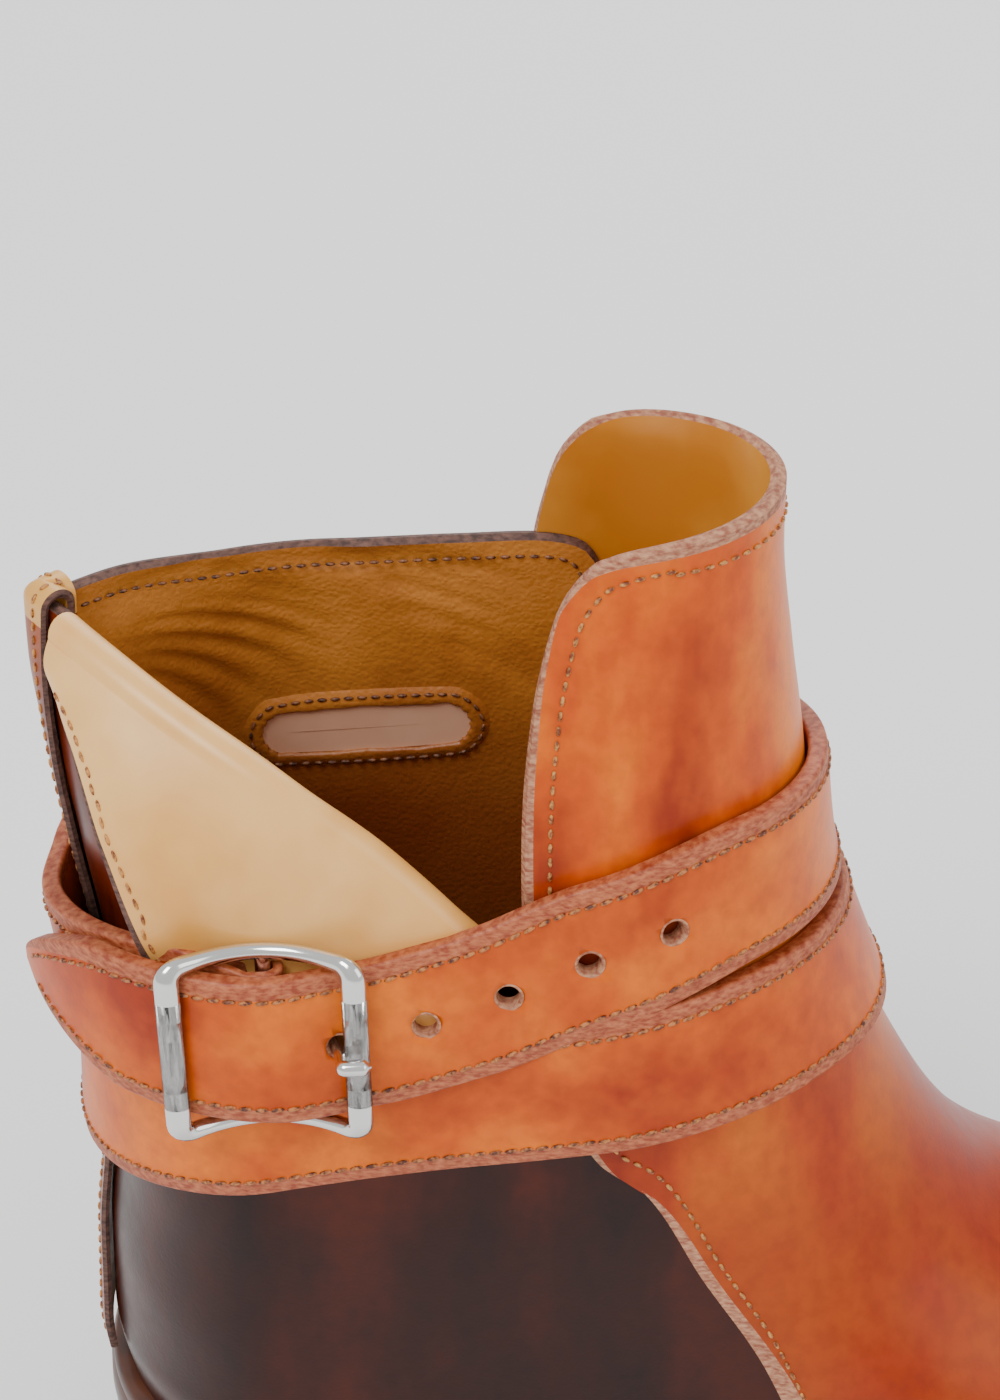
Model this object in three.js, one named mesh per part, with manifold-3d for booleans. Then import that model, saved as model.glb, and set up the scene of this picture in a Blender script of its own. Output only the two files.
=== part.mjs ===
// Strap jodhpur boot for the right foot, in millimetres.
// +X points to the toe, +Y to the inner side of the foot, +Z up. The ground is z = 0.
// The shape is worked out in heel coordinates, where x = 0 is near the back of the heel,
// and the finished group is moved so that its origin lies under the middle of its box.

import * as THREE from 'three';
import Module from 'manifold-3d';

const wasm = await Module();
wasm.setup();

// Driving dimensions

const LAST_LENGTH = 290; // the upper's lasted edge, heel to toe tip
const LAST_START = 6; // from the origin of the heel coordinates to the upper's back
const BALL_WIDTH = 102; // upper across the ball
const INSTEP_RISE = 84; // ridge of the instep above the ground
const ANKLE_WIDTH = 71; // shaft across the ankle
const COLLAR_WIDTH = 51; // shaft across the collar, where it lies slack and flattened
const SHAFT_DEPTH = 112; // shaft from back to front
const SHAFT_RISE = 214; // top of the front panel above the ground
const HEEL_HEIGHT = 25; // lifts and top piece together
const TOE_SPRING = 9;
const SOLE_THICKNESS = 5.5;
const WELT_THICKNESS = 3;
const WELT_EDGE = 6; // welt beyond the upper at the ball
const INSOLE_THICKNESS = 3;
const TOP_PIECE_THICKNESS = 6;
const LIFT_COUNT = 3;
const WALL = 2.4; // quarter leather with its lining
const VAMP_RAISE = 1.8; // step of the vamp over the quarters
const VAMP_LAP = 0.6; // how far the vamp's wall reaches into the quarter's
const BACKSTAY_WIDTH = 17;
const BACKSTAY_THICKNESS = 1.4;
const BACKSTAY_GAP = 0.5; // to the quarters, whose facets it crosses
const TAB_DROP = 12; // backstay's folded end, down the inside of the collar
const STRAP_WIDTH = 24;
const STRAP_THICKNESS = 3.1;
const STRAP_SKIVED = 1.6; // the strap's fixed end, thinned to fold round the bar
const HOLE_PITCH = 13;
const HOLE_DIAMETER = 4.2;
const HOLE_COUNT = 5;
const BUCKLE_LENGTH = 31; // along the strap
const BAR_WIDTH = 3.8; // end bars, across the strap's run
const SIDE_WIDTH = 2.6; // top and bottom bars
const BAR_THICKNESS = 2.6;
const PIN_DIAMETER = 2.4; // centre bar and prong
const FIT = 0.3; // gap between pieces that touch

// Tables of the shape. Lengths are shares of the named sizes above.

// Plan of the lasted edge: along in LAST_LENGTH, half and centre in BALL_WIDTH, edge in WELT_EDGE
const PLAN = [
  { along: 0.0, half: 0.325, centre: 0.0, edge: 0.55 },
  { along: 0.14, half: 0.325, centre: 0.0, edge: 0.55 },
  { along: 0.3, half: 0.318, centre: -0.01, edge: 0.5 },
  { along: 0.42, half: 0.345, centre: -0.02, edge: 0.5 },
  { along: 0.54, half: 0.42, centre: -0.01, edge: 0.8 },
  { along: 0.64, half: 0.48, centre: 0.005, edge: 1.0 },
  { along: 0.72, half: 0.497, centre: 0.025, edge: 1.0 },
  { along: 0.8, half: 0.475, centre: 0.045, edge: 1.0 },
  { along: 0.9, half: 0.42, centre: 0.065, edge: 1.0 },
  { along: 1.0, half: 0.38, centre: 0.08, edge: 1.0 },
];

// Underside of the outsole: along in LAST_LENGTH, heel in HEEL_HEIGHT, toe in TOE_SPRING
const UNDERSIDE = [
  { along: -0.05, heel: 1.0, toe: 0.0 },
  { along: 0.3, heel: 1.0, toe: 0.0 },
  { along: 0.37, heel: 0.8, toe: 0.0 },
  { along: 0.45, heel: 0.46, toe: 0.0 },
  { along: 0.54, heel: 0.17, toe: 0.0 },
  { along: 0.61, heel: 0.03, toe: 0.0 },
  { along: 0.65, heel: 0.0, toe: 0.0 },
  { along: 0.74, heel: 0.0, toe: 0.0 },
  { along: 0.82, heel: 0.0, toe: 0.13 },
  { along: 0.9, heel: 0.0, toe: 0.45 },
  { along: 1.03, heel: 0.0, toe: 1.0 },
];
const BREAST = 0.25; // front of the heel, in LAST_LENGTH
const BREAST_HOLLOW = 5; // how far the heel's front curves back

// Ridge of the foot from toe tip to instep: ahead in LAST_LENGTH, up in INSTEP_RISE,
// round is the radius of the section over the ridge in BALL_WIDTH
const FOOT_RIDGE = [
  { ahead: 1.0, up: 0.21, round: 0.43 },
  { ahead: 0.995, up: 0.28, round: 0.42 },
  { ahead: 0.973, up: 0.365, round: 0.36 },
  { ahead: 0.925, up: 0.455, round: 0.29 },
  { ahead: 0.85, up: 0.54, round: 0.29 },
  { ahead: 0.762, up: 0.6, round: 0.36 },
  { ahead: 0.675, up: 0.685, round: 0.4 },
  { ahead: 0.585, up: 0.79, round: 0.43 },
  { ahead: 0.516, up: 0.908, round: 0.42 },
];
// Front of the shaft from instep to collar: ahead in SHAFT_DEPTH, up in SHAFT_RISE
const SHAFT_FRONT = [
  { ahead: 1.303, up: 0.4, round: 0.43 },
  { ahead: 1.22, up: 0.462, round: 0.43 },
  { ahead: 1.139, up: 0.54, round: 0.42 },
  { ahead: 1.068, up: 0.626, round: 0.4 },
  { ahead: 1.027, up: 0.69, round: 0.37 },
  { ahead: 0.998, up: 0.78, round: 0.33 },
  { ahead: 0.97, up: 0.853, round: 0.29 },
  { ahead: 0.944, up: 0.935, round: 0.24 },
  { ahead: 0.937, up: 1.0, round: 0.24 },
];
// Back of the boot: up in SHAFT_RISE, ahead in SHAFT_DEPTH, round in BALL_WIDTH,
// sharp from 1, a round back, to 2, the pinched back of a slack collar
const BACK_LINE = [
  { up: 0.0, ahead: 0.075, round: 0.31, sharp: 1.0 },
  { up: 0.155, ahead: 0.054, round: 0.31, sharp: 1.0 },
  { up: 0.22, ahead: 0.034, round: 0.31, sharp: 1.0 },
  { up: 0.3, ahead: 0.034, round: 0.29, sharp: 1.0 },
  { up: 0.4, ahead: 0.047, round: 0.28, sharp: 1.0 },
  { up: 0.5, ahead: 0.049, round: 0.28, sharp: 1.0 },
  { up: 0.58, ahead: 0.042, round: 0.29, sharp: 1.05 },
  { up: 0.67, ahead: 0.01, round: 0.33, sharp: 1.15 },
  { up: 0.745, ahead: -0.018, round: 0.4, sharp: 1.35 },
  { up: 0.82, ahead: -0.036, round: 0.5, sharp: 1.7 },
  { up: 0.95, ahead: -0.04, round: 0.55, sharp: 1.8 },
];
// Half width of the shaft: up in SHAFT_RISE, slim from 0, the ankle's, to 1, the collar's
const SHAFT_SIDES = [
  { up: 0.15, slim: 0.15 },
  { up: 0.28, slim: -0.05 },
  { up: 0.4, slim: -0.08 },
  { up: 0.515, slim: 0.0 },
  { up: 0.61, slim: 0.12 },
  { up: 0.7, slim: 0.33 },
  { up: 0.795, slim: 0.68 },
  { up: 0.865, slim: 1.0 },
  { up: 0.96, slim: 1.4 },
];
const FOOT_BLEND = 0.235; // foot sections end and shaft sections begin, in SHAFT_RISE
const ANKLE_BLEND = 0.49;
const TUCK = 2.5; // the lasted edge lies in under the side
const TUCK_RISE = 12;

// Pattern pieces, cut in side view: ahead in SHAFT_DEPTH, up in SHAFT_RISE
const VAMP_EDGE = [
  { ahead: 1.17, up: 0.0 },
  { ahead: 1.16, up: 0.1 },
  { ahead: 1.11, up: 0.21 },
  { ahead: 1.03, up: 0.308 },
  { ahead: 0.92, up: 0.397 },
  { ahead: 0.821, up: 0.48 },
  { ahead: 0.762, up: 0.502 },
  { ahead: 0.712, up: 0.547 },
  { ahead: 0.676, up: 0.603 },
  { ahead: 0.652, up: 0.664 },
  { ahead: 0.637, up: 0.729 },
  { ahead: 0.633, up: 0.797 },
  { ahead: 0.638, up: 0.86 },
  { ahead: 0.65, up: 0.906 },
  { ahead: 0.67, up: 0.938 },
  { ahead: 0.705, up: 0.96 },
  { ahead: 0.76, up: 0.971 },
  { ahead: 0.86, up: 0.978 },
  { ahead: 1.0, up: 0.984 },
];
// Upper and front edge of the inner quarter, which stands
const INNER_QUARTER_EDGE = [
  { ahead: -0.15, up: 0.856 },
  { ahead: 0.04, up: 0.856 },
  { ahead: 0.2, up: 0.847 },
  { ahead: 0.35, up: 0.847 },
  { ahead: 0.52, up: 0.855 },
  { ahead: 0.65, up: 0.861 },
  { ahead: 0.7, up: 0.856 },
  { ahead: 0.735, up: 0.83 },
  { ahead: 0.755, up: 0.77 },
  { ahead: 0.78, up: 0.66 },
  { ahead: 0.85, up: 0.56 },
  { ahead: 1.02, up: 0.5 },
];
// Fold of the outer quarter, which is turned outward, from the back seam to the vamp's edge
const FOLD = [
  { ahead: -0.15, up: 0.856 },
  { ahead: -0.01, up: 0.856 },
  { ahead: 0.06, up: 0.846 },
  { ahead: 0.16, up: 0.826 },
  { ahead: 0.28, up: 0.799 },
  { ahead: 0.43, up: 0.749 },
  { ahead: 0.58, up: 0.682 },
  { ahead: 0.7, up: 0.62 },
  { ahead: 0.85, up: 0.53 },
  { ahead: 1.02, up: 0.49 },
];
// The turned flap: a row for each line across it, from its crest on the fold to its free edge.
// ahead and up as above, stand is the free edge's distance from the quarter in WALL
const FLAP = [
  { crestAhead: 0.02, crestUp: 0.849, ahead: 0.03, up: 0.82, stand: 1.2 },
  { crestAhead: 0.08, crestUp: 0.839, ahead: 0.075, up: 0.79, stand: 2.4 },
  { crestAhead: 0.17, crestUp: 0.821, ahead: 0.125, up: 0.74, stand: 3.2 },
  { crestAhead: 0.27, crestUp: 0.799, ahead: 0.165, up: 0.68, stand: 2.8 },
  { crestAhead: 0.35, crestUp: 0.775, ahead: 0.21, up: 0.61, stand: 0.6 },
  { crestAhead: 0.43, crestUp: 0.747, ahead: 0.3, up: 0.55, stand: 0.3 },
  { crestAhead: 0.5, crestUp: 0.717, ahead: 0.42, up: 0.53, stand: 0.3 },
  { crestAhead: 0.555, crestUp: 0.691, ahead: 0.52, up: 0.57, stand: 0.3 },
  { crestAhead: 0.6, crestUp: 0.671, ahead: 0.58, up: 0.62, stand: 0.3 },
];
const FOLD_ROLL = 0.95; // radius of the rolled fold at mid leather, in WALL
const FOLD_ROOT = 0.75; // how far below the fold the standing leather ends, in rolls
const FLAP_SWELL = 0.5; // how far the flap stands off half way down, in WALL

// Strap, from its fixed end back and twice round: a row for each place it passes.
// turn counts whole turns from the back seam, up is the middle's height in SHAFT_RISE,
// lift is the inner face's height over its place flat on the backstay and thick its thickness,
// both in STRAP_THICKNESS
const STRAP = [
  { turn: -0.14, up: 0.626, lift: 0.97, thick: 0.7 },
  { turn: -0.11, up: 0.618, lift: 0.95, thick: 1.0 },
  { turn: -0.06, up: 0.606, lift: 0.95, thick: 1.0 },
  { turn: 0.0, up: 0.6, lift: 0, thick: 1.0 },
  { turn: 0.1, up: 0.603, lift: 0, thick: 1.0 },
  { turn: 0.25, up: 0.605, lift: 0, thick: 1.0 },
  { turn: 0.4, up: 0.595, lift: 0, thick: 1.0 },
  { turn: 0.5, up: 0.592, lift: 0, thick: 1.0 },
  { turn: 0.6, up: 0.598, lift: 0, thick: 1.0 },
  { turn: 0.75, up: 0.565, lift: 0, thick: 1.0 },
  { turn: 0.87, up: 0.522, lift: 0, thick: 1.0 },
  { turn: 1.0, up: 0.472, lift: 0, thick: 1.0 },
  { turn: 1.1, up: 0.49, lift: 0.04, thick: 1.0 },
  { turn: 1.17, up: 0.53, lift: 1.12, thick: 1.0 },
  { turn: 1.25, up: 0.605, lift: 1.14, thick: 1.0 },
  { turn: 1.33, up: 0.66, lift: 1.12, thick: 1.0 },
  { turn: 1.42, up: 0.693, lift: 0.04, thick: 1.0 },
  { turn: 1.5, up: 0.71, lift: 0, thick: 1.0 },
  { turn: 1.6, up: 0.716, lift: 0, thick: 1.0 },
  { turn: 1.68, up: 0.687, lift: 0.04, thick: 1.0 },
  { turn: 1.74, up: 0.647, lift: 0.41, thick: 1.0 },
  { turn: 1.785, up: 0.628, lift: 1.21, thick: 1.0 },
  { turn: 1.828, up: 0.622, lift: 2.38, thick: 1.0 },
  { turn: 1.86, up: 0.619, lift: 2.22, thick: 1.0 },
  { turn: 1.9, up: 0.616, lift: 2.17, thick: 1.0 },
  { turn: 1.95, up: 0.61, lift: 2.44, thick: 1.0 },
];
const BAR_TURN = 1.828; // where the strap crosses the buckle's centre bar
const PRONG_REACH = 0.37; // first hole ahead of the centre bar, in BUCKLE_LENGTH
const TIP_LENGTH = 22;
const TURNED_LENGTH = 12; // fixed end under the strap, behind the centre bar

// Small mathematics

const lerp = (a, b, share) => a + (b - a) * share;
const clamp01 = (value) => Math.min(1, Math.max(0, value));
const smooth = (value, from, to) => {
  const share = clamp01((value - from) / (to - from));
  return share * share * (3 - 2 * share);
};
const last = (list) => list[list.length - 1];

// A smooth curve through (keys, values) that never overshoots its points, flat beyond its ends
function curve(keys, values) {
  const secant = (i) => (values[i + 1] - values[i]) / (keys[i + 1] - keys[i]);
  const slopes = keys.map((key, i) => {
    if (i === 0) return secant(0);
    if (i === keys.length - 1) return secant(i - 1);
    const before = secant(i - 1);
    const after = secant(i);
    return before * after <= 0 ? 0 : (2 * before * after) / (before + after);
  });
  return (key) => {
    if (key <= keys[0]) return values[0];
    if (key >= last(keys)) return last(values);
    const i = keys.findIndex((next) => next > key) - 1;
    const span = keys[i + 1] - keys[i];
    const t = (key - keys[i]) / span;
    const near = (1 + 2 * t) * (1 - t) * (1 - t) * values[i] + t * (1 - t) * (1 - t) * span * slopes[i];
    const far = t * t * (3 - 2 * t) * values[i + 1] - t * t * (1 - t) * span * slopes[i + 1];
    return near + far;
  };
}

// A column of a table as a smooth curve over another column
function column(rows, key, value, keyUnit = 1, valueUnit = 1, keyStart = 0) {
  return curve(rows.map((row) => keyStart + row[key] * keyUnit), rows.map((row) => row[value] * valueUnit));
}

// The quarter ellipse that rounds a nose: 0 at its tip, 1 and level one radius behind it
const nose = (share) => Math.sqrt(1 - (1 - clamp01(share)) ** 2);

// Shape of the last

const underHeel = column(UNDERSIDE, 'along', 'heel', LAST_LENGTH, HEEL_HEIGHT, LAST_START);
const underToe = column(UNDERSIDE, 'along', 'toe', LAST_LENGTH, TOE_SPRING, LAST_START);
const underside = (x) => underHeel(x) + underToe(x);
const soleTop = (x) => underside(x) + SOLE_THICKNESS;
const weltTop = (x) => soleTop(x) + FIT + WELT_THICKNESS;
const feather = (x) => weltTop(x) + FIT;

const planHalf = column(PLAN, 'along', 'half', LAST_LENGTH, BALL_WIDTH, LAST_START);
const planCentre = column(PLAN, 'along', 'centre', LAST_LENGTH, BALL_WIDTH, LAST_START);
const planEdge = column(PLAN, 'along', 'edge', LAST_LENGTH, WELT_EDGE, LAST_START);

const ridgePoints = [
  ...FOOT_RIDGE.map((row) => ({
    x: LAST_START + row.ahead * LAST_LENGTH,
    z: row.up * INSTEP_RISE,
    round: row.round * BALL_WIDTH,
  })),
  ...SHAFT_FRONT.map((row) => ({
    x: row.ahead * SHAFT_DEPTH,
    z: row.up * SHAFT_RISE,
    round: row.round * BALL_WIDTH,
  })),
];
ridgePoints[0].z = feather(ridgePoints[0].x);
const ridgeRuns = [0];
for (let i = 1; i < ridgePoints.length; i += 1) {
  const step = Math.hypot(ridgePoints[i].x - ridgePoints[i - 1].x, ridgePoints[i].z - ridgePoints[i - 1].z);
  ridgeRuns.push(last(ridgeRuns) + step);
}
const ridgeX = curve(ridgeRuns, ridgePoints.map((point) => point.x));
const ridgeZ = curve(ridgeRuns, ridgePoints.map((point) => point.z));
const ridgeRound = curve(ridgeRuns, ridgePoints.map((point) => point.round));
const RIDGE_RUN = last(ridgeRuns);

// The run at which the ridge, which only climbs and only goes back, passes a height or an x
function ridgeRunAt(reached) {
  let low = 0;
  let high = RIDGE_RUN;
  for (let i = 0; i < 30; i += 1) {
    const middle = (low + high) / 2;
    if (reached(middle)) high = middle;
    else low = middle;
  }
  return (low + high) / 2;
}

const backX = column(BACK_LINE, 'up', 'ahead', SHAFT_RISE, SHAFT_DEPTH);
const backRound = column(BACK_LINE, 'up', 'round', SHAFT_RISE, BALL_WIDTH);
const backSharp = column(BACK_LINE, 'up', 'sharp', SHAFT_RISE);
const slimness = column(SHAFT_SIDES, 'up', 'slim', SHAFT_RISE);
const shaftHalf = (z) => lerp(ANKLE_WIDTH, COLLAR_WIDTH, slimness(z)) / 2;
const shaftShare = (z) => smooth(z, FOOT_BLEND * SHAFT_RISE, ANKLE_BLEND * SHAFT_RISE);

// Distance to the ridge, and the ridge's roundness there. The straight line through the two
// places level with the point and above it stands for the ridge.
function ridgeGap(x, z) {
  const level = ridgeRunAt((run) => ridgeZ(run) >= z);
  const above = ridgeRunAt((run) => ridgeX(run) <= x);
  const ahead = Math.max(0, ridgeX(level) - x);
  const up = x <= ridgeX(RIDGE_RUN) ? 1e6 : Math.max(0, ridgeZ(above) - z);
  const share = ahead + up === 0 ? 0 : (up * up) / (ahead * ahead + up * up);
  return {
    gap: ahead + up === 0 ? 0 : (ahead * up) / Math.hypot(ahead, up),
    round: lerp(ridgeRound(above), ridgeRound(level), share),
  };
}

// Half width of the boot at a place of its side view, without the rounding at its outline
function widest(x, z) {
  const tuck = TUCK * (1 - clamp01((z - feather(x)) / TUCK_RISE)) ** 2;
  return lerp(planHalf(x) + TUCK, shaftHalf(z), shaftShare(z)) - tuck;
}

function halfWidth(x, z) {
  const { gap, round } = ridgeGap(x, z);
  return widest(x, z) * nose(gap / round) * nose((x - backX(z)) / backRound(z)) ** backSharp(z);
}

const centreLine = (x, z) => planCentre(x) * (1 - shaftShare(z));

// A place on the quarter's outer face from its side view. side is -1 outer, 1 inner.
const facePoint = (x, z, side) => new THREE.Vector3(x, centreLine(x, z) + side * halfWidth(x, z), z);

// Ring q runs from the back line to the ridge, from the lasted edge at q = 0 to the top at q = 1.
// turn goes from the back seam over the outer side to the front at 0.5 and back on the inner side.
const RING_TOP = 0.9; // back end of the top ring, in SHAFT_RISE
const RING_EASE = 1.7; // rings lie closer together at the heel than on the vamp
const DIP_FADE = 0.6; // rings above this no longer follow the lasted edge's curve
const SEAT = feather(LAST_START);

function ringPoint(q, turn) {
  const ahead = (1 - Math.cos(2 * Math.PI * turn)) / 2;
  const side = ((turn % 1) + 1) % 1 < 0.5 ? -1 : 1;
  const backZ = lerp(SEAT, RING_TOP * SHAFT_RISE, q ** RING_EASE);
  const x = lerp(backX(backZ), ridgeX(q * RIDGE_RUN), ahead);
  const edgeX = lerp(backX(SEAT), ridgeX(0), ahead);
  const chord = lerp(SEAT, ridgeZ(0), ahead);
  const dip = (feather(edgeX) - chord) * clamp01(1 - q / DIP_FADE) ** 2;
  return facePoint(x, lerp(backZ, ridgeZ(q * RIDGE_RUN), ahead) + dip, side);
}

// The same face by height: a level section through the shaft
function levelPoint(turn, z) {
  const ahead = (1 - Math.cos(2 * Math.PI * turn)) / 2;
  const side = ((turn % 1) + 1) % 1 < 0.5 ? -1 : 1;
  const front = ridgeX(ridgeRunAt((run) => ridgeZ(run) >= z));
  return facePoint(lerp(backX(z), front, ahead), z, side);
}

// Outward normal of a surface face(a, b), from small steps to both sides
function outward(face, a, b, stepA, stepB) {
  const alongA = face(a + stepA, b).sub(face(a - stepA, b));
  const alongB = face(a, b + stepB).sub(face(a, b - stepB));
  return alongA.cross(alongB).normalize();
}

const TURN_STEP = 0.004;
const RING_STEP = 0.004;
const HEIGHT_STEP = 1;

const PINCH = 0.3; // least share of its half width that the lining keeps at the pinched back

// A place lifted off the face along its normal. On the lasted edge the normal is level.
function ringFace(q, turn, lift) {
  const inside = Math.min(1 - RING_STEP, Math.max(RING_STEP, q));
  const normal = outward(ringPoint, inside, turn, RING_STEP, TURN_STEP).negate();
  if (q === 0) normal.setZ(0).normalize();
  const face = ringPoint(q, turn);
  const place = face.clone().addScaledVector(normal, lift);
  const centre = centreLine(face.x, face.z);
  const kept = PINCH * (face.y - centre);
  if ((place.y - centre) * kept < kept * kept) place.setY(centre + kept);
  return place;
}

function levelFace(turn, z, lift) {
  const normal = outward(levelPoint, turn, z, TURN_STEP, HEIGHT_STEP);
  return levelPoint(turn, z).addScaledVector(normal, lift);
}

// A place over the outer side from its side view, lifted off it
function outerFace(x, z, lift) {
  const normal = outward((a, b) => facePoint(a, b, -1), x, z, HEIGHT_STEP, HEIGHT_STEP);
  return facePoint(x, z, -1).addScaledVector(normal, lift);
}

// Meshes

// Closed mesh from points and triangles: equal points are merged, flat triangles dropped
function geometryOf(points, triangles) {
  const places = new Map();
  const kept = [];
  const index = points.map((point) => {
    const key = [point.x, point.y, point.z].map((value) => Math.round(value * 1e4)).join(' ');
    if (!places.has(key)) {
      places.set(key, kept.length);
      kept.push(point);
    }
    return places.get(key);
  });
  const faces = triangles
    .map((face) => face.map((corner) => index[corner]))
    .filter(([a, b, c]) => a !== b && b !== c && c !== a);
  const geometry = new THREE.BufferGeometry();
  const flat = kept.flatMap((point) => [point.x, point.y, point.z]);
  geometry.setAttribute('position', new THREE.Float32BufferAttribute(flat, 3));
  geometry.setIndex(faces.flat());
  return geometry;
}

function solidOf(geometry) {
  const vertProperties = Float32Array.from(geometry.attributes.position.array);
  const triVerts = Uint32Array.from(geometry.index.array);
  return new wasm.Manifold(new wasm.Mesh({ numProp: 3, vertProperties, triVerts }));
}

function geometryOfSolid(solid) {
  const mesh = solid.getMesh();
  const geometry = new THREE.BufferGeometry();
  geometry.setAttribute('position', new THREE.BufferAttribute(Float32Array.from(mesh.vertProperties), 3));
  geometry.setIndex([...mesh.triVerts]);
  return geometry;
}

// Rows of points joined into a tube, each row a closed loop. The tube closes on itself with
// ring = true, and otherwise its two ends are capped by fans.
function loft(rows, ring = false) {
  const size = rows[0].length;
  const points = rows.flat();
  const triangles = [];
  const count = ring ? rows.length : rows.length - 1;
  for (let i = 0; i < count; i += 1) {
    const next = (i + 1) % rows.length;
    for (let j = 0; j < size; j += 1) {
      const k = (j + 1) % size;
      triangles.push([i * size + j, next * size + j, next * size + k]);
      triangles.push([i * size + j, next * size + k, i * size + k]);
    }
  }
  if (!ring) {
    for (let j = 1; j < size - 1; j += 1) {
      const end = (rows.length - 1) * size;
      triangles.push([0, j, j + 1]);
      triangles.push([end, end + j + 1, end + j]);
    }
  }
  return geometryOf(points, triangles);
}

// A closed outline of [x, z] places, swept straight across the boot between two y
function acrossPrism(outline, from, to) {
  const shape = new THREE.Shape(outline.map(([x, z]) => new THREE.Vector2(x, z)));
  const geometry = new THREE.ExtrudeGeometry(shape, { depth: to - from, bevelEnabled: false });
  geometry.rotateX(Math.PI / 2);
  geometry.translate(0, to, 0);
  const position = geometry.attributes.position;
  const points = [];
  const triangles = [];
  for (let i = 0; i < position.count; i += 1) points.push(new THREE.Vector3().fromBufferAttribute(position, i));
  for (let i = 0; i < position.count; i += 3) triangles.push([i, i + 1, i + 2]);
  return geometryOf(points, triangles);
}

// Upper

const MERGE_DISTANCE = 0.05; // closer corners than this become one
const RING_COUNT = 22;
const TURN_COUNT = 56;

// Hollow shell of the whole boot between two lifts, from a low ring up, open at both ends
function shell(outerLift, innerLift, low = 0) {
  const ringAt = (i) => Math.max(low, i / RING_COUNT);
  const rows = [];
  for (let j = 0; j < TURN_COUNT; j += 1) {
    const turn = j / TURN_COUNT;
    const row = [];
    for (let i = 0; i <= RING_COUNT; i += 1) row.push(ringFace(ringAt(i), turn, outerLift));
    for (let i = RING_COUNT; i >= 0; i -= 1) row.push(ringFace(ringAt(i), turn, innerLift));
    rows.push(row);
  }
  return solidOf(loft(rows, true));
}

const sideView = (rows) => rows.map((row) => [row.ahead * SHAFT_DEPTH, row.up * SHAFT_RISE]);
const FAR_AHEAD = LAST_LENGTH * 1.2;
const FAR_SIDE = BALL_WIDTH;
const UNDER = -HEEL_HEIGHT;
const OVER = SHAFT_RISE * 1.2;
const VAMP_LOW = 0.012; // the ring on which the vamp's step starts, just over the lasted edge

// What lies over a quarter's edge between two y
function overEdge(edge, from, to) {
  const outline = sideView(edge);
  const corners = [[FAR_AHEAD, last(outline)[1]], [FAR_AHEAD, OVER], [-SHAFT_DEPTH, OVER]];
  return solidOf(acrossPrism([...outline, ...corners, [-SHAFT_DEPTH, outline[0][1]]], from, to));
}

// What the vamp covers, ahead of its edge and under its top line
function vampRoom() {
  const outline = sideView(VAMP_EDGE);
  const corners = [[FAR_AHEAD, last(outline)[1]], [FAR_AHEAD, UNDER], [outline[0][0], UNDER]];
  return solidOf(acrossPrism([...outline, ...corners], -FAR_SIDE, FAR_SIDE));
}

function quarterFlap() {
  const names = ['crestAhead', 'crestUp', 'ahead', 'up', 'stand'];
  const stations = 13;
  const rows = [];
  const along = FLAP.map((row, i) => i / (FLAP.length - 1));
  const at = Object.fromEntries(names.map((name) => [name, curve(along, FLAP.map((row) => row[name]))]));
  const roll = FOLD_ROLL * WALL;
  for (let i = 0; i < stations; i += 1) {
    const t = i / (stations - 1);
    const crest = [at.crestAhead(t) * SHAFT_DEPTH, at.crestUp(t) * SHAFT_RISE];
    const edge = [at.ahead(t) * SHAFT_DEPTH, at.up(t) * SHAFT_RISE];
    const length = Math.hypot(edge[0] - crest[0], edge[1] - crest[1]);
    const down = [(edge[0] - crest[0]) / length, (edge[1] - crest[1]) / length];
    const stand = at.stand(t) * WALL + WALL / 2;
    // Middle of the leather: run down from the crest, lift off the quarter
    const path = [{ run: roll * (FOLD_ROOT + 0.9), lift: -WALL / 2 }, { run: roll * 0.2, lift: -WALL / 2 }];
    for (let k = 1; k <= 4; k += 1) {
      const angle = (k / 4) * Math.PI;
      path.push({ run: -roll * Math.sin(angle), lift: -WALL / 2 + roll * (1 - Math.cos(angle)) });
    }
    const start = -WALL / 2 + 2 * roll;
    for (let k = 1; k <= 6; k += 1) {
      const share = k / 6;
      const swell = FLAP_SWELL * WALL * Math.sin(Math.PI * share);
      path.push({ run: length * share, lift: lerp(start, stand, share) + swell });
    }
    const normals = path.map((place, k) => {
      const before = path[Math.max(0, k - 1)];
      const after = path[Math.min(path.length - 1, k + 1)];
      const run = after.run - before.run;
      const lift = after.lift - before.lift;
      const size = Math.hypot(run, lift);
      return { run: -lift / size, lift: run / size };
    });
    const place = (k, off) => {
      const run = path[k].run + normals[k].run * off;
      const lift = path[k].lift + normals[k].lift * off;
      return outerFace(crest[0] + down[0] * run, crest[1] + down[1] * run, lift);
    };
    // Its root lies buried in the quarter, so it is a little thinner there
    const half = (k) => (k < 2 ? WALL * 0.27 : WALL * 0.47);
    const outside = path.map((_, k) => place(k, half(k)));
    const inside = path.map((_, k) => place(k, -half(k))).reverse();
    rows.push([...outside, ...inside]);
  }
  return solidOf(loft(rows));
}

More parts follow.
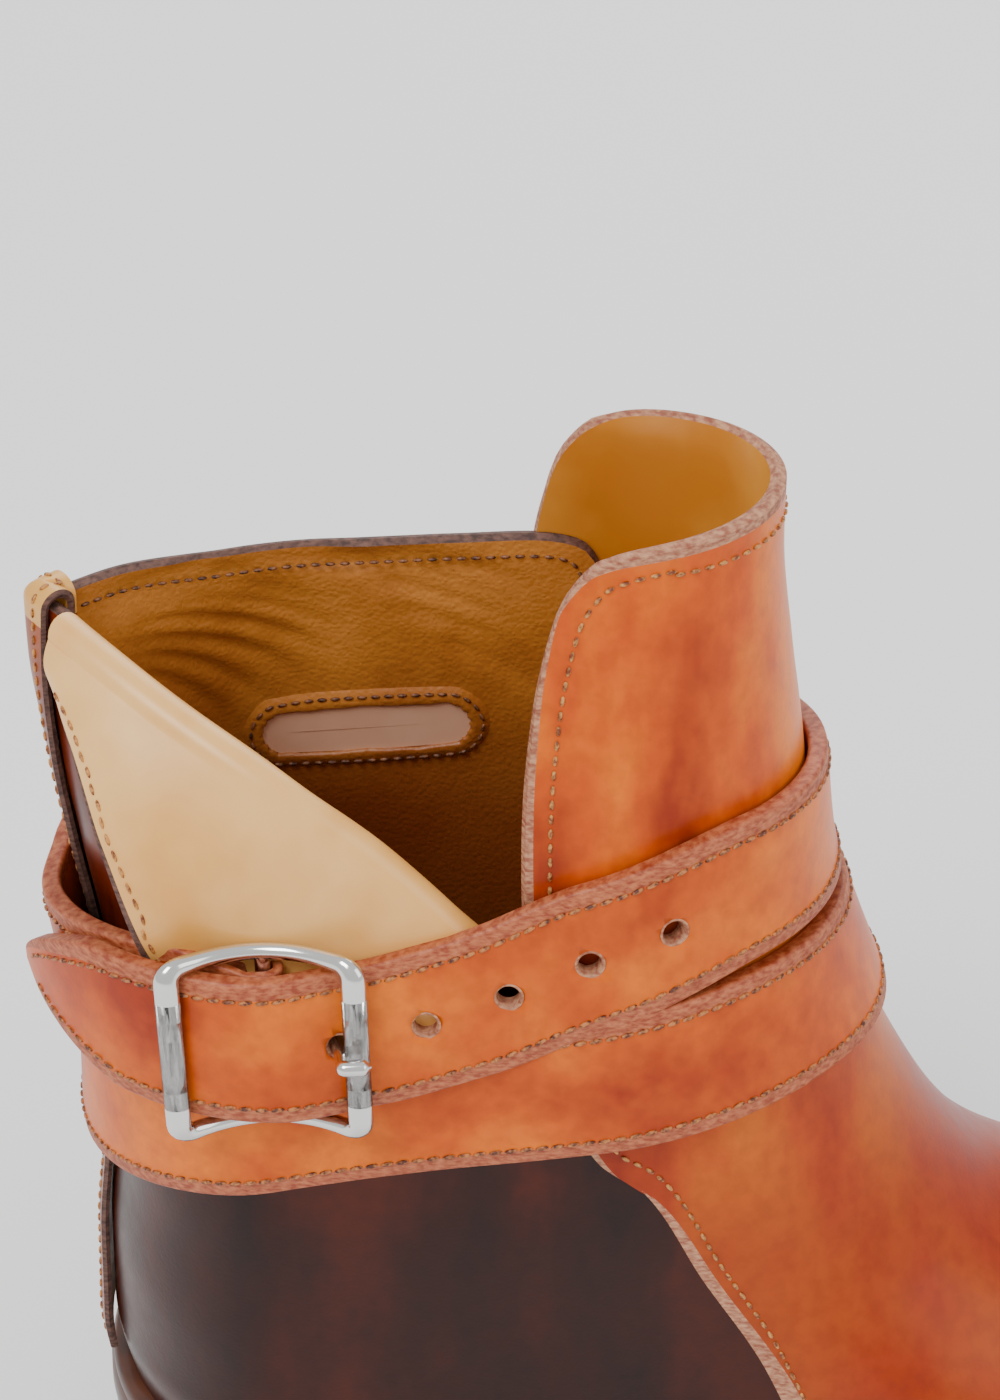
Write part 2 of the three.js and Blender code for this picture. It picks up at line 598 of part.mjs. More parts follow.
function upperGeometry() {
  // The outer quarter is cut a little below its fold, where the flap's root lies in its wall
  const cutDrop = (FOLD_ROOT * FOLD_ROLL * WALL) / SHAFT_RISE;
  const belowFold = FOLD.map((row) => ({ ahead: row.ahead, up: row.up - cutDrop }));
  const quarters = shell(0, -WALL)
    .subtract(overEdge(INNER_QUARTER_EDGE, -2 * FIT, FAR_SIDE))
    .subtract(overEdge(belowFold, -FAR_SIDE, -FIT));
  const vamp = shell(VAMP_RAISE, -VAMP_LAP, VAMP_LOW).intersect(vampRoom());
  const joined = quarters.add(vamp).add(quarterFlap()).asOriginal().simplify(MERGE_DISTANCE);
  // Joining can leave a sliver without volume, so the largest body is kept
  const bodies = joined.decompose().sort((a, b) => b.volume() - a.volume());
  return geometryOfSolid(bodies[0]);
}

// Backstay: a strip up the back seam whose end turns over the collar

// Shares of its half width that the tab keeps inside the sharp back seam
const TAB_PINCH = 0.12;
const TAB_DEPTH = 0.25;

function backstayGeometry() {
  const collar = INNER_QUARTER_EDGE[1].up * SHAFT_RISE;
  const foot = SEAT + TUCK_RISE / 2;
  const outside = BACKSTAY_GAP + BACKSTAY_THICKNESS / 2;
  const inside = -WALL - outside;
  const turnRadius = (outside - inside) / 2;
  const path = [];
  const steps = 14;
  for (let i = 0; i <= steps; i += 1) {
    const share = i / steps;
    path.push({ z: lerp(foot, collar, share), lift: outside + 2 * BACKSTAY_GAP * (1 - share) ** 8 });
  }
  for (let i = 1; i < 6; i += 1) {
    const angle = (i / 6) * Math.PI;
    const lift = -WALL / 2 + turnRadius * Math.cos(angle);
    path.push({ z: collar + FIT + turnRadius * Math.sin(angle) * 0.9, lift });
  }
  for (let i = 0; i <= 2; i += 1) path.push({ z: collar - (TAB_DROP * i) / 2, lift: inside });
  const rows = path.map((place, k) => {
    const before = path[Math.max(0, k - 1)];
    const after = path[Math.min(path.length - 1, k + 1)];
    const rise = after.z - before.z;
    const out = after.lift - before.lift;
    const size = Math.hypot(rise, out);
    const half = BACKSTAY_THICKNESS / 2;
    const row = [];
    for (const face of [1, -1]) {
      for (let j = -3; j <= 3; j += 1) {
        const y = (face * j * BACKSTAY_WIDTH) / 6;
        const reach = widest(0, place.z) * Math.PI * Math.sqrt((2 * SHAFT_DEPTH) / backRound(place.z));
        const z = place.z - (face * half * out) / size;
        const lift = place.lift + (face * half * rise) / size;
        const point = levelFace(-y / reach, z, lift);
        const skin = levelPoint(-y / reach, z);
        const centre = centreLine(skin.x, skin.z);
        const kept = (TAB_PINCH + TAB_DEPTH * Math.max(-1, lift / inside - 1) * -1) * (skin.y - centre);
        if (lift < 0 && (point.y - centre) * kept < kept * kept) point.setY(centre + kept);
        row.push(point);
      }
    }
    return row;
  });
  return loft(rows);
}

// Strap

const strapCentre = column(STRAP, 'turn', 'up', 1, SHAFT_RISE);
const STRAP_REST = BACKSTAY_GAP + BACKSTAY_THICKNESS + 1.5 * FIT; // inner face over the quarter
const strapHigher = column(STRAP, 'turn', 'lift', 1, STRAP_THICKNESS);
const strapLift = (turn) => STRAP_REST + strapHigher(turn);
const strapThick = column(STRAP, 'turn', 'thick', 1, STRAP_THICKNESS);

// A place in the strap: across from -1, the lower edge, to 1, and out from the inner face
function strapPlace(turn, across, out) {
  const z = strapCentre(turn);
  const lower = levelPoint(-turn, z - HEIGHT_STEP);
  const upper = levelPoint(-turn, z + HEIGHT_STEP);
  const lean = (2 * HEIGHT_STEP) / lower.distanceTo(upper);
  const half = (STRAP_WIDTH / 2) * lean;
  return levelFace(-turn, z + across * half, strapLift(turn) + out);
}

// The strap's middle line, to measure lengths along it
function strapRun() {
  const samples = 600;
  const turns = [];
  const runs = [];
  let before = null;
  for (let i = 0; i <= samples; i += 1) {
    const turn = lerp(STRAP[0].turn, last(STRAP).turn, i / samples);
    const here = strapPlace(turn, 0, STRAP_THICKNESS / 2);
    runs.push(before ? last(runs) + here.distanceTo(before) : 0);
    turns.push(turn);
    before = here;
  }
  return { runAt: curve(turns, runs), turnAt: curve(runs, turns), length: last(runs) };
}

const strapMeasure = strapRun();
const barRun = strapMeasure.runAt(BAR_TURN);

// Share of the strap's full width near its pointed tip
const tipWidth = (run) => Math.sqrt(clamp01((strapMeasure.length - run) / TIP_LENGTH)) * 0.98 + 0.02;

// The fixed end: back under the bar, round it and out to meet the strap's own path
function fixedEndRows() {
  const radius = PIN_DIAMETER / 2 + FIT + STRAP_SKIVED / 2;
  const path = [{ along: -TURNED_LENGTH, out: -radius }, { along: -radius, out: -radius }];
  for (let k = 0; k <= 6; k += 1) {
    const angle = (k / 6 - 0.5) * Math.PI;
    path.push({ along: radius * Math.cos(angle), out: radius * Math.sin(angle) });
  }
  path.push({ along: -radius, out: radius });
  return path.map(({ along, out }) => {
    const size = Math.hypot(Math.max(0, along), out);
    const facing = [Math.max(0, along) / size, out / size];
    const corner = (across, face) => {
      const off = (face * STRAP_SKIVED) / 2;
      return bucklePlace(along + facing[0] * off, (across * STRAP_WIDTH) / 2, out + facing[1] * off);
    };
    return [corner(-1, -1), corner(1, -1), corner(1, 1), corner(-1, 1)];
  });
}

function strapGeometry() {
  const rows = fixedEndRows();
  const count = 78;
  for (let i = 0; i <= count; i += 1) {
    const run = (strapMeasure.length * i) / count;
    const turn = strapMeasure.turnAt(run);
    const width = tipWidth(run);
    const thick = strapThick(turn);
    rows.push([
      strapPlace(turn, -width, 0),
      strapPlace(turn, width, 0),
      strapPlace(turn, width, thick),
      strapPlace(turn, -width, thick),
    ]);
  }
  let strap = solidOf(loft(rows));
  for (let i = 0; i < HOLE_COUNT; i += 1) strap = strap.subtract(holeAt(i));
  return geometryOfSolid(strap);
}

const holeRun = (i) => barRun - PRONG_REACH * BUCKLE_LENGTH - i * HOLE_PITCH;

// Round punch through the strap at hole i
function holeAt(i) {
  const turn = strapMeasure.turnAt(holeRun(i));
  const inner = strapPlace(turn, 0, -STRAP_THICKNESS / 2);
  const outer = strapPlace(turn, 0, STRAP_THICKNESS * 1.5);
  return solidOf(rod([inner, outer], () => [HOLE_DIAMETER / 2, HOLE_DIAMETER / 2], 10));
}

// A bar of elliptical section along a path. sizes(i) gives its half width and half height.
// The height lies along up, which is the same for the whole bar.
function rod(path, sizes, sides, ring = false, up = new THREE.Vector3(0, 0, 1)) {
  const rows = path.map((place, i) => {
    const before = path[ring ? (i + path.length - 1) % path.length : Math.max(0, i - 1)];
    const after = path[ring ? (i + 1) % path.length : Math.min(path.length - 1, i + 1)];
    const along = after.clone().sub(before).normalize();
    const across = up.clone().cross(along).normalize();
    const raise = along.clone().cross(across);
    const [half, height] = sizes(i);
    const row = [];
    for (let k = 0; k < sides; k += 1) {
      const angle = (-(k + 0.5) / sides) * 2 * Math.PI;
      const point = place.clone();
      point.addScaledVector(across, half * Math.cos(angle));
      point.addScaledVector(raise, height * Math.sin(angle));
      row.push(point);
    }
    return row;
  });
  return loft(rows, ring);
}

// Buckle, in its own axes: along the strap, across it and out from the boot

const BUCKLE_END = (BUCKLE_LENGTH - BAR_WIDTH) / 2; // middle of an end bar from the centre bar
const BUCKLE_REACH = STRAP_WIDTH / 2 + 4 * FIT + SIDE_WIDTH / 2; // middle of the top and bottom bars
const BUCKLE_CORNER = 2.2;

const overStrap = STRAP_THICKNESS + 3 * FIT + BAR_THICKNESS / 2;
const frontBar = strapPlace(strapMeasure.turnAt(barRun - BUCKLE_END), 0, overStrap);
const rearBar = strapPlace(strapMeasure.turnAt(barRun + BUCKLE_END), 0, overStrap);
const barSeat = strapPlace(BAR_TURN, 0, -FIT - STRAP_SKIVED - FIT - PIN_DIAMETER / 2);
const buckleAlong = frontBar.clone().sub(rearBar).normalize();
const strapAcross = strapPlace(BAR_TURN, 1, 0).sub(strapPlace(BAR_TURN, -1, 0));
const buckleOut = buckleAlong.clone().cross(strapAcross).normalize();
const buckleAcross = buckleOut.clone().cross(buckleAlong).normalize();
const barSink = frontBar.clone().sub(barSeat).dot(buckleOut);

function bucklePlace(along, across, out) {
  return barSeat.clone()
    .addScaledVector(buckleAlong, along)
    .addScaledVector(buckleAcross, across)
    .addScaledVector(buckleOut, out);
}

// The end bars lie over the strap, so the frame is bowed out from its centre bar
const buckleBow = (along) => barSink * (along / BUCKLE_END) ** 2;

function buckleFrameGeometry() {
  const end = BUCKLE_END;
  const path = [];
  for (const [signX, signY] of [[1, 1], [-1, 1], [-1, -1], [1, -1]]) {
    const corner = [signX * (end - BUCKLE_CORNER), signY * (BUCKLE_REACH - BUCKLE_CORNER)];
    const start = Math.atan2(signY, signX) - Math.PI / 4;
    for (let k = 0; k <= 3; k += 1) {
      const angle = start + (k / 3) * (Math.PI / 2);
      const along = corner[0] + BUCKLE_CORNER * Math.cos(angle);
      path.push(bucklePlace(along, corner[1] + BUCKLE_CORNER * Math.sin(angle), buckleBow(along)));
    }
    const nextAlong = signX === signY ? [0.35, 0, -0.35].map((share) => signY * share * 2 * end) : [];
    for (const along of nextAlong) path.push(bucklePlace(along, signY * BUCKLE_REACH, buckleBow(along)));
  }
  const endShare = (place) => Math.abs(place.clone().sub(barSeat).dot(buckleAlong)) / end;
  const sizes = (i) => [lerp(SIDE_WIDTH, BAR_WIDTH, clamp01(endShare(path[i])) ** 8) / 2, BAR_THICKNESS / 2];
  const frame = solidOf(rod(path, sizes, 8, true, buckleOut));
  const bar = [bucklePlace(0, -BUCKLE_REACH, 0), bucklePlace(0, BUCKLE_REACH, 0)];
  const centreBar = solidOf(rod(bar, () => [PIN_DIAMETER / 2, PIN_DIAMETER / 2], 10, false, buckleOut));
  return geometryOfSolid(frame.add(centreBar));
}

// The prong starts ahead of the bar's loop, comes out through the first hole and rests on the end bar
function buckleProngGeometry() {
  const start = PIN_DIAMETER / 2 + FIT + STRAP_SKIVED + PIN_DIAMETER / 2;
  const hole = PRONG_REACH * BUCKLE_LENGTH;
  const end = BUCKLE_END;
  const rest = barSink + BAR_THICKNESS / 2 + 5 * FIT + PIN_DIAMETER / 2;
  const path = [
    bucklePlace(start, 0, -PIN_DIAMETER / 4),
    bucklePlace(lerp(start, hole, 0.75), 0, -PIN_DIAMETER / 4),
    bucklePlace(hole - 1.2, 0, rest * 0.25),
    bucklePlace(hole - 0.2, 0, rest * 0.75),
    bucklePlace(end - 1.6, 0, rest + FIT / 2),
    bucklePlace(end + 1, 0, rest),
    bucklePlace(end + 2.4, 0, rest - 0.2),
  ];
  const shares = [0.6, 0.65, 0.65, 0.7, 1, 1, 0.6];
  const sizes = (i) => [(shares[i] * PIN_DIAMETER) / 2, (shares[i] * PIN_DIAMETER) / 2];
  return rod(path, sizes, 8, false, buckleAcross);
}

// Sole

// The lasted edge moved out level by grow, at a height worked out from x
function edgePlace(turn, grow, height) {
  const place = ringFace(0, turn, grow);
  return place.setZ(height(place.x));
}

// A plate between two heights, as wide as the lasted edge moved out by grow(x)
function plateGeometry(grow, bottom, top) {
  const rows = [];
  for (let j = 0; j <= TURN_COUNT / 2; j += 1) {
    const turn = j / TURN_COUNT;
    const reach = grow(ringPoint(0, turn).x);
    rows.push([
      edgePlace(turn, reach, top),
      edgePlace(-turn, reach, top),
      edgePlace(-turn, reach, bottom),
      edgePlace(turn, reach, bottom),
    ]);
  }
  return loft(rows);
}

const WELT_INSET = 0.4; // the welt's edge lies a little inside the outsole's

function weltGeometry() {
  const rows = [];
  const under = (x) => soleTop(x) + FIT;
  for (let j = 0; j < TURN_COUNT; j += 1) {
    const turn = j / TURN_COUNT;
    const reach = planEdge(ringPoint(0, turn).x) - WELT_INSET;
    rows.push([
      edgePlace(turn, reach, under),
      edgePlace(turn, reach, weltTop),
      edgePlace(turn, -WALL - FIT, weltTop),
      edgePlace(turn, -WALL - FIT, under),
    ]);
  }
  return loft(rows, true);
}

function insoleGeometry() {
  return plateGeometry(() => -WALL - 5 * FIT, (x) => soleTop(x) + FIT, (x) => feather(x) + INSOLE_THICKNESS);
}

// One layer of the heel, between two heights, with its front curved back
function heelLayerGeometry(lowZ, highZ, lowInset, highInset) {
  const steps = 11;
  const breast = LAST_START + BREAST * LAST_LENGTH;
  const breastTurn = Math.acos(1 - (2 * (breast - LAST_START)) / LAST_LENGTH) / (2 * Math.PI);
  const loop = (inset, z) => {
    const points = [];
    for (let i = -steps; i <= steps; i += 1) {
      const turn = (-i / steps) * breastTurn;
      points.push(edgePlace(turn, planEdge(ringPoint(0, turn).x) - inset, () => z));
    }
    const from = last(points);
    const to = points[0];
    for (const share of [1 / 6, 2 / 6, 3 / 6, 4 / 6, 5 / 6]) {
      const place = from.clone().lerp(to, share);
      place.x -= BREAST_HOLLOW * 4 * share * (1 - share);
      points.push(place);
    }
    return points;
  };
  return loft([loop(lowInset, lowZ), loop(highInset, highZ)]);
}

// Materials

const tanLeather = new THREE.MeshStandardMaterial({ color: '#c96a1c', roughness: 0.38, metalness: 0 });
const redLeather = new THREE.MeshStandardMaterial({ color: '#a6441a', roughness: 0.4, metalness: 0 });
const darkEdge = new THREE.MeshStandardMaterial({ color: '#5a2c14', roughness: 0.45, metalness: 0 });
const soleLeather = new THREE.MeshStandardMaterial({ color: '#b98a5a', roughness: 0.6, metalness: 0 });
const liningLeather = new THREE.MeshStandardMaterial({ color: '#b57a38', roughness: 0.6, metalness: 0 });
const blackRubber = new THREE.MeshStandardMaterial({ color: '#1d1a18', roughness: 0.8, metalness: 0 });
const nickel = new THREE.MeshStandardMaterial({ color: '#d5d6d8', roughness: 0.18, metalness: 1 });

// Assembly

const boot = new THREE.Group();
function addPiece(name, geometry, material) {
  const mesh = new THREE.Mesh(geometry, material);
  mesh.name = name;
  boot.add(mesh);
}

addPiece('upper', upperGeometry(), tanLeather);
addPiece('backstay', backstayGeometry(), redLeather);
addPiece('strap', strapGeometry(), redLeather);
addPiece('buckle_frame', buckleFrameGeometry(), nickel);
addPiece('buckle_prong', buckleProngGeometry(), nickel);
addPiece('insole', insoleGeometry(), liningLeather);
addPiece('welt', weltGeometry(), darkEdge);
addPiece('outsole', plateGeometry(planEdge, underside, soleTop), soleLeather);

const HEEL_TAPER = 0.5; // each layer is this much smaller than the one above it
const liftThickness = (HEEL_HEIGHT - TOP_PIECE_THICKNESS) / LIFT_COUNT;
const heelInset = (z) => 0.3 + (HEEL_TAPER * (HEEL_HEIGHT - z)) / liftThickness;
for (let i = 0; i < LIFT_COUNT; i += 1) {
  const high = HEEL_HEIGHT - i * liftThickness;
  const low = HEEL_HEIGHT - (i + 1) * liftThickness;
  addPiece(`heel_lift_${i + 1}`, heelLayerGeometry(low, high, heelInset(low), heelInset(high)), darkEdge);
}
addPiece('top_piece', heelLayerGeometry(0, TOP_PIECE_THICKNESS, heelInset(0), heelInset(TOP_PIECE_THICKNESS)),
  blackRubber);

// The origin lies under the middle of the finished boot's box
const box = new THREE.Box3().setFromObject(boot);
const middle = box.getCenter(new THREE.Vector3());
boot.position.set(-middle.x, -middle.y, 0);
const part = new THREE.Group();
part.add(boot);

export default part;
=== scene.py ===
"""Strap jodhpur boot for the right foot: fine surfaces, finishes, light and camera.

The shape of the last is worked out in millimetres in heel coordinates: x = 0 near the back of
the heel, +X to the toe, +Y to the inner side of the foot, z = 0 on the ground.
"""

import bmesh
import bpy
import numpy as np
from mathutils import Matrix, Vector


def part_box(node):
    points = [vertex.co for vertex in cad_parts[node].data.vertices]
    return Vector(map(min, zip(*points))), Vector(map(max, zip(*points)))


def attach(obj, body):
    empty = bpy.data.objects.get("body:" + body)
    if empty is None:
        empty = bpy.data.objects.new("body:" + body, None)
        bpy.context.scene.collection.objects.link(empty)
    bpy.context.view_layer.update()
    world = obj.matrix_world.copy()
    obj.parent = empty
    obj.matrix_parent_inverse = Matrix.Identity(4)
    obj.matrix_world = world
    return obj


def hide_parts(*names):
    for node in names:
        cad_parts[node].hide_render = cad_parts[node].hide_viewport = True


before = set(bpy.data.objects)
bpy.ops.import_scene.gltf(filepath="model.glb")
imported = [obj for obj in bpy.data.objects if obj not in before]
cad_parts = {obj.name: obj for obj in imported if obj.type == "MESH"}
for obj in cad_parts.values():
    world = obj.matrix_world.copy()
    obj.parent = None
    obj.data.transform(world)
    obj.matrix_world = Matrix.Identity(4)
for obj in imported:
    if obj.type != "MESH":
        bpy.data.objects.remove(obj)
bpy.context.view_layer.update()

bl_info = {
    "name": "Strap Jodhpur Boot",
    "version": (1, 0, 0),
    "blender": (4, 5, 0),
    "location": "View3D > Sidebar > Boot",
    "description": "Builds a strap jodhpur boot from the sizes of its last",
    "category": "Object",
}

MM = 0.001

# Driving dimensions, in millimetres

LAST_LENGTH = 290.0
LAST_START = 6.0
BALL_WIDTH = 102.0
INSTEP_RISE = 84.0
ANKLE_WIDTH = 71.0
COLLAR_WIDTH = 51.0
SHAFT_DEPTH = 112.0
SHAFT_RISE = 214.0
HEEL_HEIGHT = 25.0
TOE_SPRING = 9.0
SOLE_THICKNESS = 5.5
WELT_THICKNESS = 3.0
WELT_EDGE = 6.0
INSOLE_THICKNESS = 3.0
TOP_PIECE_THICKNESS = 6.0
LIFT_COUNT = 3
WALL = 2.4
VAMP_RAISE = 1.8
VAMP_LAP = 0.6
BACKSTAY_WIDTH = 17.0
BACKSTAY_THICKNESS = 1.4
BACKSTAY_GAP = 0.5
TAB_DROP = 12.0
STRAP_WIDTH = 24.0
STRAP_THICKNESS = 3.1
STRAP_SKIVED = 1.6
HOLE_PITCH = 13.0
HOLE_DIAMETER = 4.2
HOLE_COUNT = 5
BUCKLE_LENGTH = 31.0
BAR_WIDTH = 3.8
SIDE_WIDTH = 2.6
BAR_THICKNESS = 2.6
PIN_DIAMETER = 2.4
FIT = 0.3


def table(names, *rows):
    """A table with named columns: one array for each name."""
    return dict(zip(names.split(), np.array(rows, float).T))


# Plan of the lasted edge: along in LAST_LENGTH, half and centre in BALL_WIDTH, edge in WELT_EDGE
PLAN = table(
    "along half centre edge",
    (0.0, 0.325, 0.0, 0.55),
    (0.14, 0.325, 0.0, 0.55),
    (0.3, 0.318, -0.01, 0.5),
    (0.42, 0.345, -0.02, 0.5),
    (0.54, 0.42, -0.01, 0.8),
    (0.64, 0.48, 0.005, 1.0),
    (0.72, 0.497, 0.025, 1.0),
    (0.8, 0.475, 0.045, 1.0),
    (0.9, 0.42, 0.065, 1.0),
    (1.0, 0.38, 0.08, 1.0),
)
# Underside of the outsole: along in LAST_LENGTH, heel in HEEL_HEIGHT, toe in TOE_SPRING
UNDERSIDE = table(
    "along heel toe",
    (-0.05, 1.0, 0.0),
    (0.3, 1.0, 0.0),
    (0.37, 0.8, 0.0),
    (0.45, 0.46, 0.0),
    (0.54, 0.17, 0.0),
    (0.61, 0.03, 0.0),
    (0.65, 0.0, 0.0),
    (0.74, 0.0, 0.0),
    (0.82, 0.0, 0.13),
    (0.9, 0.0, 0.45),
    (1.03, 0.0, 1.0),
)
BREAST = 0.25
BREAST_HOLLOW = 5.0
# Ridge of the foot: ahead in LAST_LENGTH, up in INSTEP_RISE, round in BALL_WIDTH
FOOT_RIDGE = table(
    "ahead up round",
    (1.0, 0.21, 0.43),
    (0.995, 0.28, 0.42),
    (0.973, 0.365, 0.36),
    (0.925, 0.455, 0.29),
    (0.85, 0.54, 0.29),
    (0.762, 0.6, 0.36),
    (0.675, 0.685, 0.4),
    (0.585, 0.79, 0.43),
    (0.516, 0.908, 0.42),
)
# Front of the shaft: ahead in SHAFT_DEPTH, up in SHAFT_RISE, round in BALL_WIDTH
SHAFT_FRONT = table(
    "ahead up round",
    (1.303, 0.4, 0.43),
    (1.22, 0.462, 0.43),
    (1.139, 0.54, 0.42),
    (1.068, 0.626, 0.4),
    (1.027, 0.69, 0.37),
    (0.998, 0.78, 0.33),
    (0.97, 0.853, 0.29),
    (0.944, 0.935, 0.24),
    (0.937, 1.0, 0.24),
)
# Back of the boot: up in SHAFT_RISE, ahead in SHAFT_DEPTH, round in BALL_WIDTH, sharp from 1 to 2
BACK_LINE = table(
    "up ahead round sharp",
    (0.0, 0.075, 0.31, 1.0),
    (0.155, 0.054, 0.31, 1.0),
    (0.22, 0.034, 0.31, 1.0),
    (0.3, 0.034, 0.29, 1.0),
    (0.4, 0.047, 0.28, 1.0),
    (0.5, 0.049, 0.28, 1.0),
    (0.58, 0.042, 0.29, 1.05),
    (0.67, 0.01, 0.33, 1.15),
    (0.745, -0.018, 0.4, 1.35),
    (0.82, -0.036, 0.5, 1.7),
    (0.95, -0.04, 0.55, 1.8),
)
# Half width of the shaft: up in SHAFT_RISE, slim from 0, the ankle's, to 1, the collar's
SHAFT_SIDES = table(
    "up slim",
    (0.15, 0.15),
    (0.28, -0.05),
    (0.4, -0.08),
    (0.515, 0.0),
    (0.61, 0.12),
    (0.7, 0.33),
    (0.795, 0.68),
    (0.865, 1.0),
    (0.96, 1.4),
)
FOOT_BLEND = 0.235
ANKLE_BLEND = 0.49
TUCK = 2.5
TUCK_RISE = 12.0
PINCH = 0.3

# Pattern pieces in side view: ahead in SHAFT_DEPTH, up in SHAFT_RISE
VAMP_REAR = table(
    "ahead up",
    (1.17, 0.0),
    (1.16, 0.1),
    (1.11, 0.21),
    (1.03, 0.308),
    (0.92, 0.397),
    (0.821, 0.48),
    (0.762, 0.502),
    (0.712, 0.547),
    (0.676, 0.603),
    (0.652, 0.664),
    (0.637, 0.729),
    (0.633, 0.797),
    (0.638, 0.86),
    (0.65, 0.906),
    (0.659, 0.925),
)
VAMP_TOP = table(
    "ahead up",
    (0.659, 0.925),
    (0.67, 0.938),
    (0.705, 0.96),
    (0.76, 0.971),
    (0.86, 0.978),
    (0.938, 0.982),
)
INNER_COLLAR = table(
    "ahead up",
    (-0.038, 0.856),
    (0.04, 0.856),
    (0.2, 0.847),
    (0.35, 0.847),
    (0.52, 0.855),
    (0.65, 0.861),
    (0.7, 0.856),
    (0.735, 0.83),
    (0.755, 0.77),
    (0.78, 0.66),
    (0.8, 0.6),
)
OUTER_FOLD = table(
    "ahead up",
    (-0.038, 0.856),
    (-0.01, 0.856),
    (0.06, 0.846),
    (0.16, 0.826),
    (0.28, 0.799),
    (0.43, 0.749),
    (0.58, 0.682),
    (0.7, 0.62),
    (0.766, 0.59),
)
FRONT_LAP = 0.09
# Distance from the back line over which a quarter's normals change to the surface's own
SEAM_BLEND = (8.0, 20.0)
# The turned flap, from its crest on the fold to its free edge; stand in WALL
FLAP = table(
    "crest_ahead crest_up ahead up stand",
    (0.02, 0.849, 0.03, 0.82, 1.2),
    (0.08, 0.839, 0.075, 0.79, 2.4),
    (0.17, 0.821, 0.125, 0.74, 3.2),
    (0.27, 0.799, 0.165, 0.68, 2.8),
    (0.35, 0.775, 0.21, 0.61, 0.6),
    (0.43, 0.747, 0.3, 0.55, 0.3),
    (0.5, 0.717, 0.42, 0.53, 0.3),
    (0.555, 0.691, 0.52, 0.57, 0.3),
    (0.6, 0.671, 0.58, 0.62, 0.3),
)
FOLD_ROLL = 0.95
FOLD_ROOT = 0.75
FLAP_SWELL = 0.5

# Strap: turn round the shaft, up in SHAFT_RISE, lift and thick in STRAP_THICKNESS
STRAP = table(
    "turn up lift thick",
    (-0.14, 0.626, 0.97, 0.7),
    (-0.11, 0.618, 0.95, 1.0),
    (-0.06, 0.606, 0.95, 1.0),
    (0.0, 0.6, 0.0, 1.0),
    (0.1, 0.603, 0.0, 1.0),
    (0.25, 0.605, 0.0, 1.0),
    (0.4, 0.595, 0.0, 1.0),
    (0.5, 0.592, 0.0, 1.0),
    (0.6, 0.598, 0.0, 1.0),
    (0.75, 0.565, 0.0, 1.0),
    (0.87, 0.522, 0.0, 1.0),
    (1.0, 0.472, 0.0, 1.0),
    (1.1, 0.49, 0.04, 1.0),
    (1.17, 0.53, 1.12, 1.0),
    (1.25, 0.605, 1.14, 1.0),
    (1.33, 0.66, 1.12, 1.0),
    (1.42, 0.693, 0.04, 1.0),
    (1.5, 0.71, 0.0, 1.0),
    (1.6, 0.716, 0.0, 1.0),
    (1.68, 0.687, 0.04, 1.0),
    (1.74, 0.647, 0.41, 1.0),
    (1.785, 0.628, 1.21, 1.0),
    (1.828, 0.622, 2.38, 1.0),
    (1.86, 0.619, 2.22, 1.0),
    (1.9, 0.616, 2.17, 1.0),
    (1.95, 0.61, 2.44, 1.0),
)
BAR_TURN = 1.828
PRONG_REACH = 0.37
TIP_LENGTH = 22.0
TURNED_LENGTH = 12.0

# Small mathematics


def lerp(a, b, share):
    """The value a share of the way from a to b."""
    return a + (b - a) * share


def smooth(value, start, end):
    """Eases from 0 at start to 1 at end."""
    share = np.clip((value - start) / (end - start), 0, 1)
    return share * share * (3 - 2 * share)


def curve(keys, values):
    """Cubic through (keys, values) whose slope at each key is the harmonic mean of the slopes
    beside it, or 0 where they differ in sign, so it never overshoots. Flat beyond its ends."""
    keys, values = np.asarray(keys, float), np.asarray(values, float)
    secant = np.diff(values) / np.diff(keys)
    before, after = secant[:-1], secant[1:]
    agree = before * after > 0
    middle = np.where(agree, 2 * before * after / np.where(agree, before + after, 1), 0)
    slopes = np.concatenate([secant[:1], middle, secant[-1:]])

    def at(key):
        key = np.clip(key, keys[0], keys[-1])
        i = np.clip(np.searchsorted(keys, key, side="right") - 1, 0, len(keys) - 2)
        span = keys[i + 1] - keys[i]
        t = (key - keys[i]) / span
        near = (1 + 2 * t) * (1 - t) ** 2 * values[i] + t * (1 - t) ** 2 * span * slopes[i]
        far = t * t * (3 - 2 * t) * values[i + 1] - t * t * (1 - t) * span * slopes[i + 1]
        return near + far

    return at


def column(rows, key, value, key_unit=1.0, value_unit=1.0, key_start=0.0):
    """A curve through one column of a table over another, in the units given."""
    return curve(key_start + rows[key] * key_unit, rows[value] * value_unit)


def nose(share):
    """Quarter ellipse: 0 at the tip, 1 and level one radius behind it."""
    return np.sqrt(np.clip(1 - (1 - np.clip(share, 0, 1)) ** 2, 0, 1))


def unit(vectors):
    """The vectors at length 1."""
    return vectors / np.maximum(np.linalg.norm(vectors, axis=-1, keepdims=True), 1e-9)


def side_line(rows):
    """A side view line through a table's rows, as x and z over its share of length."""
    x, z = rows["ahead"] * SHAFT_DEPTH, rows["up"] * SHAFT_RISE
    run = np.concatenate([[0], np.cumsum(np.hypot(np.diff(x), np.diff(z)))])
    along_x, along_z = curve(run / run[-1], x), curve(run / run[-1], z)
    return lambda share: np.stack([along_x(share), along_z(share)], axis=-1)


# Shape of the last

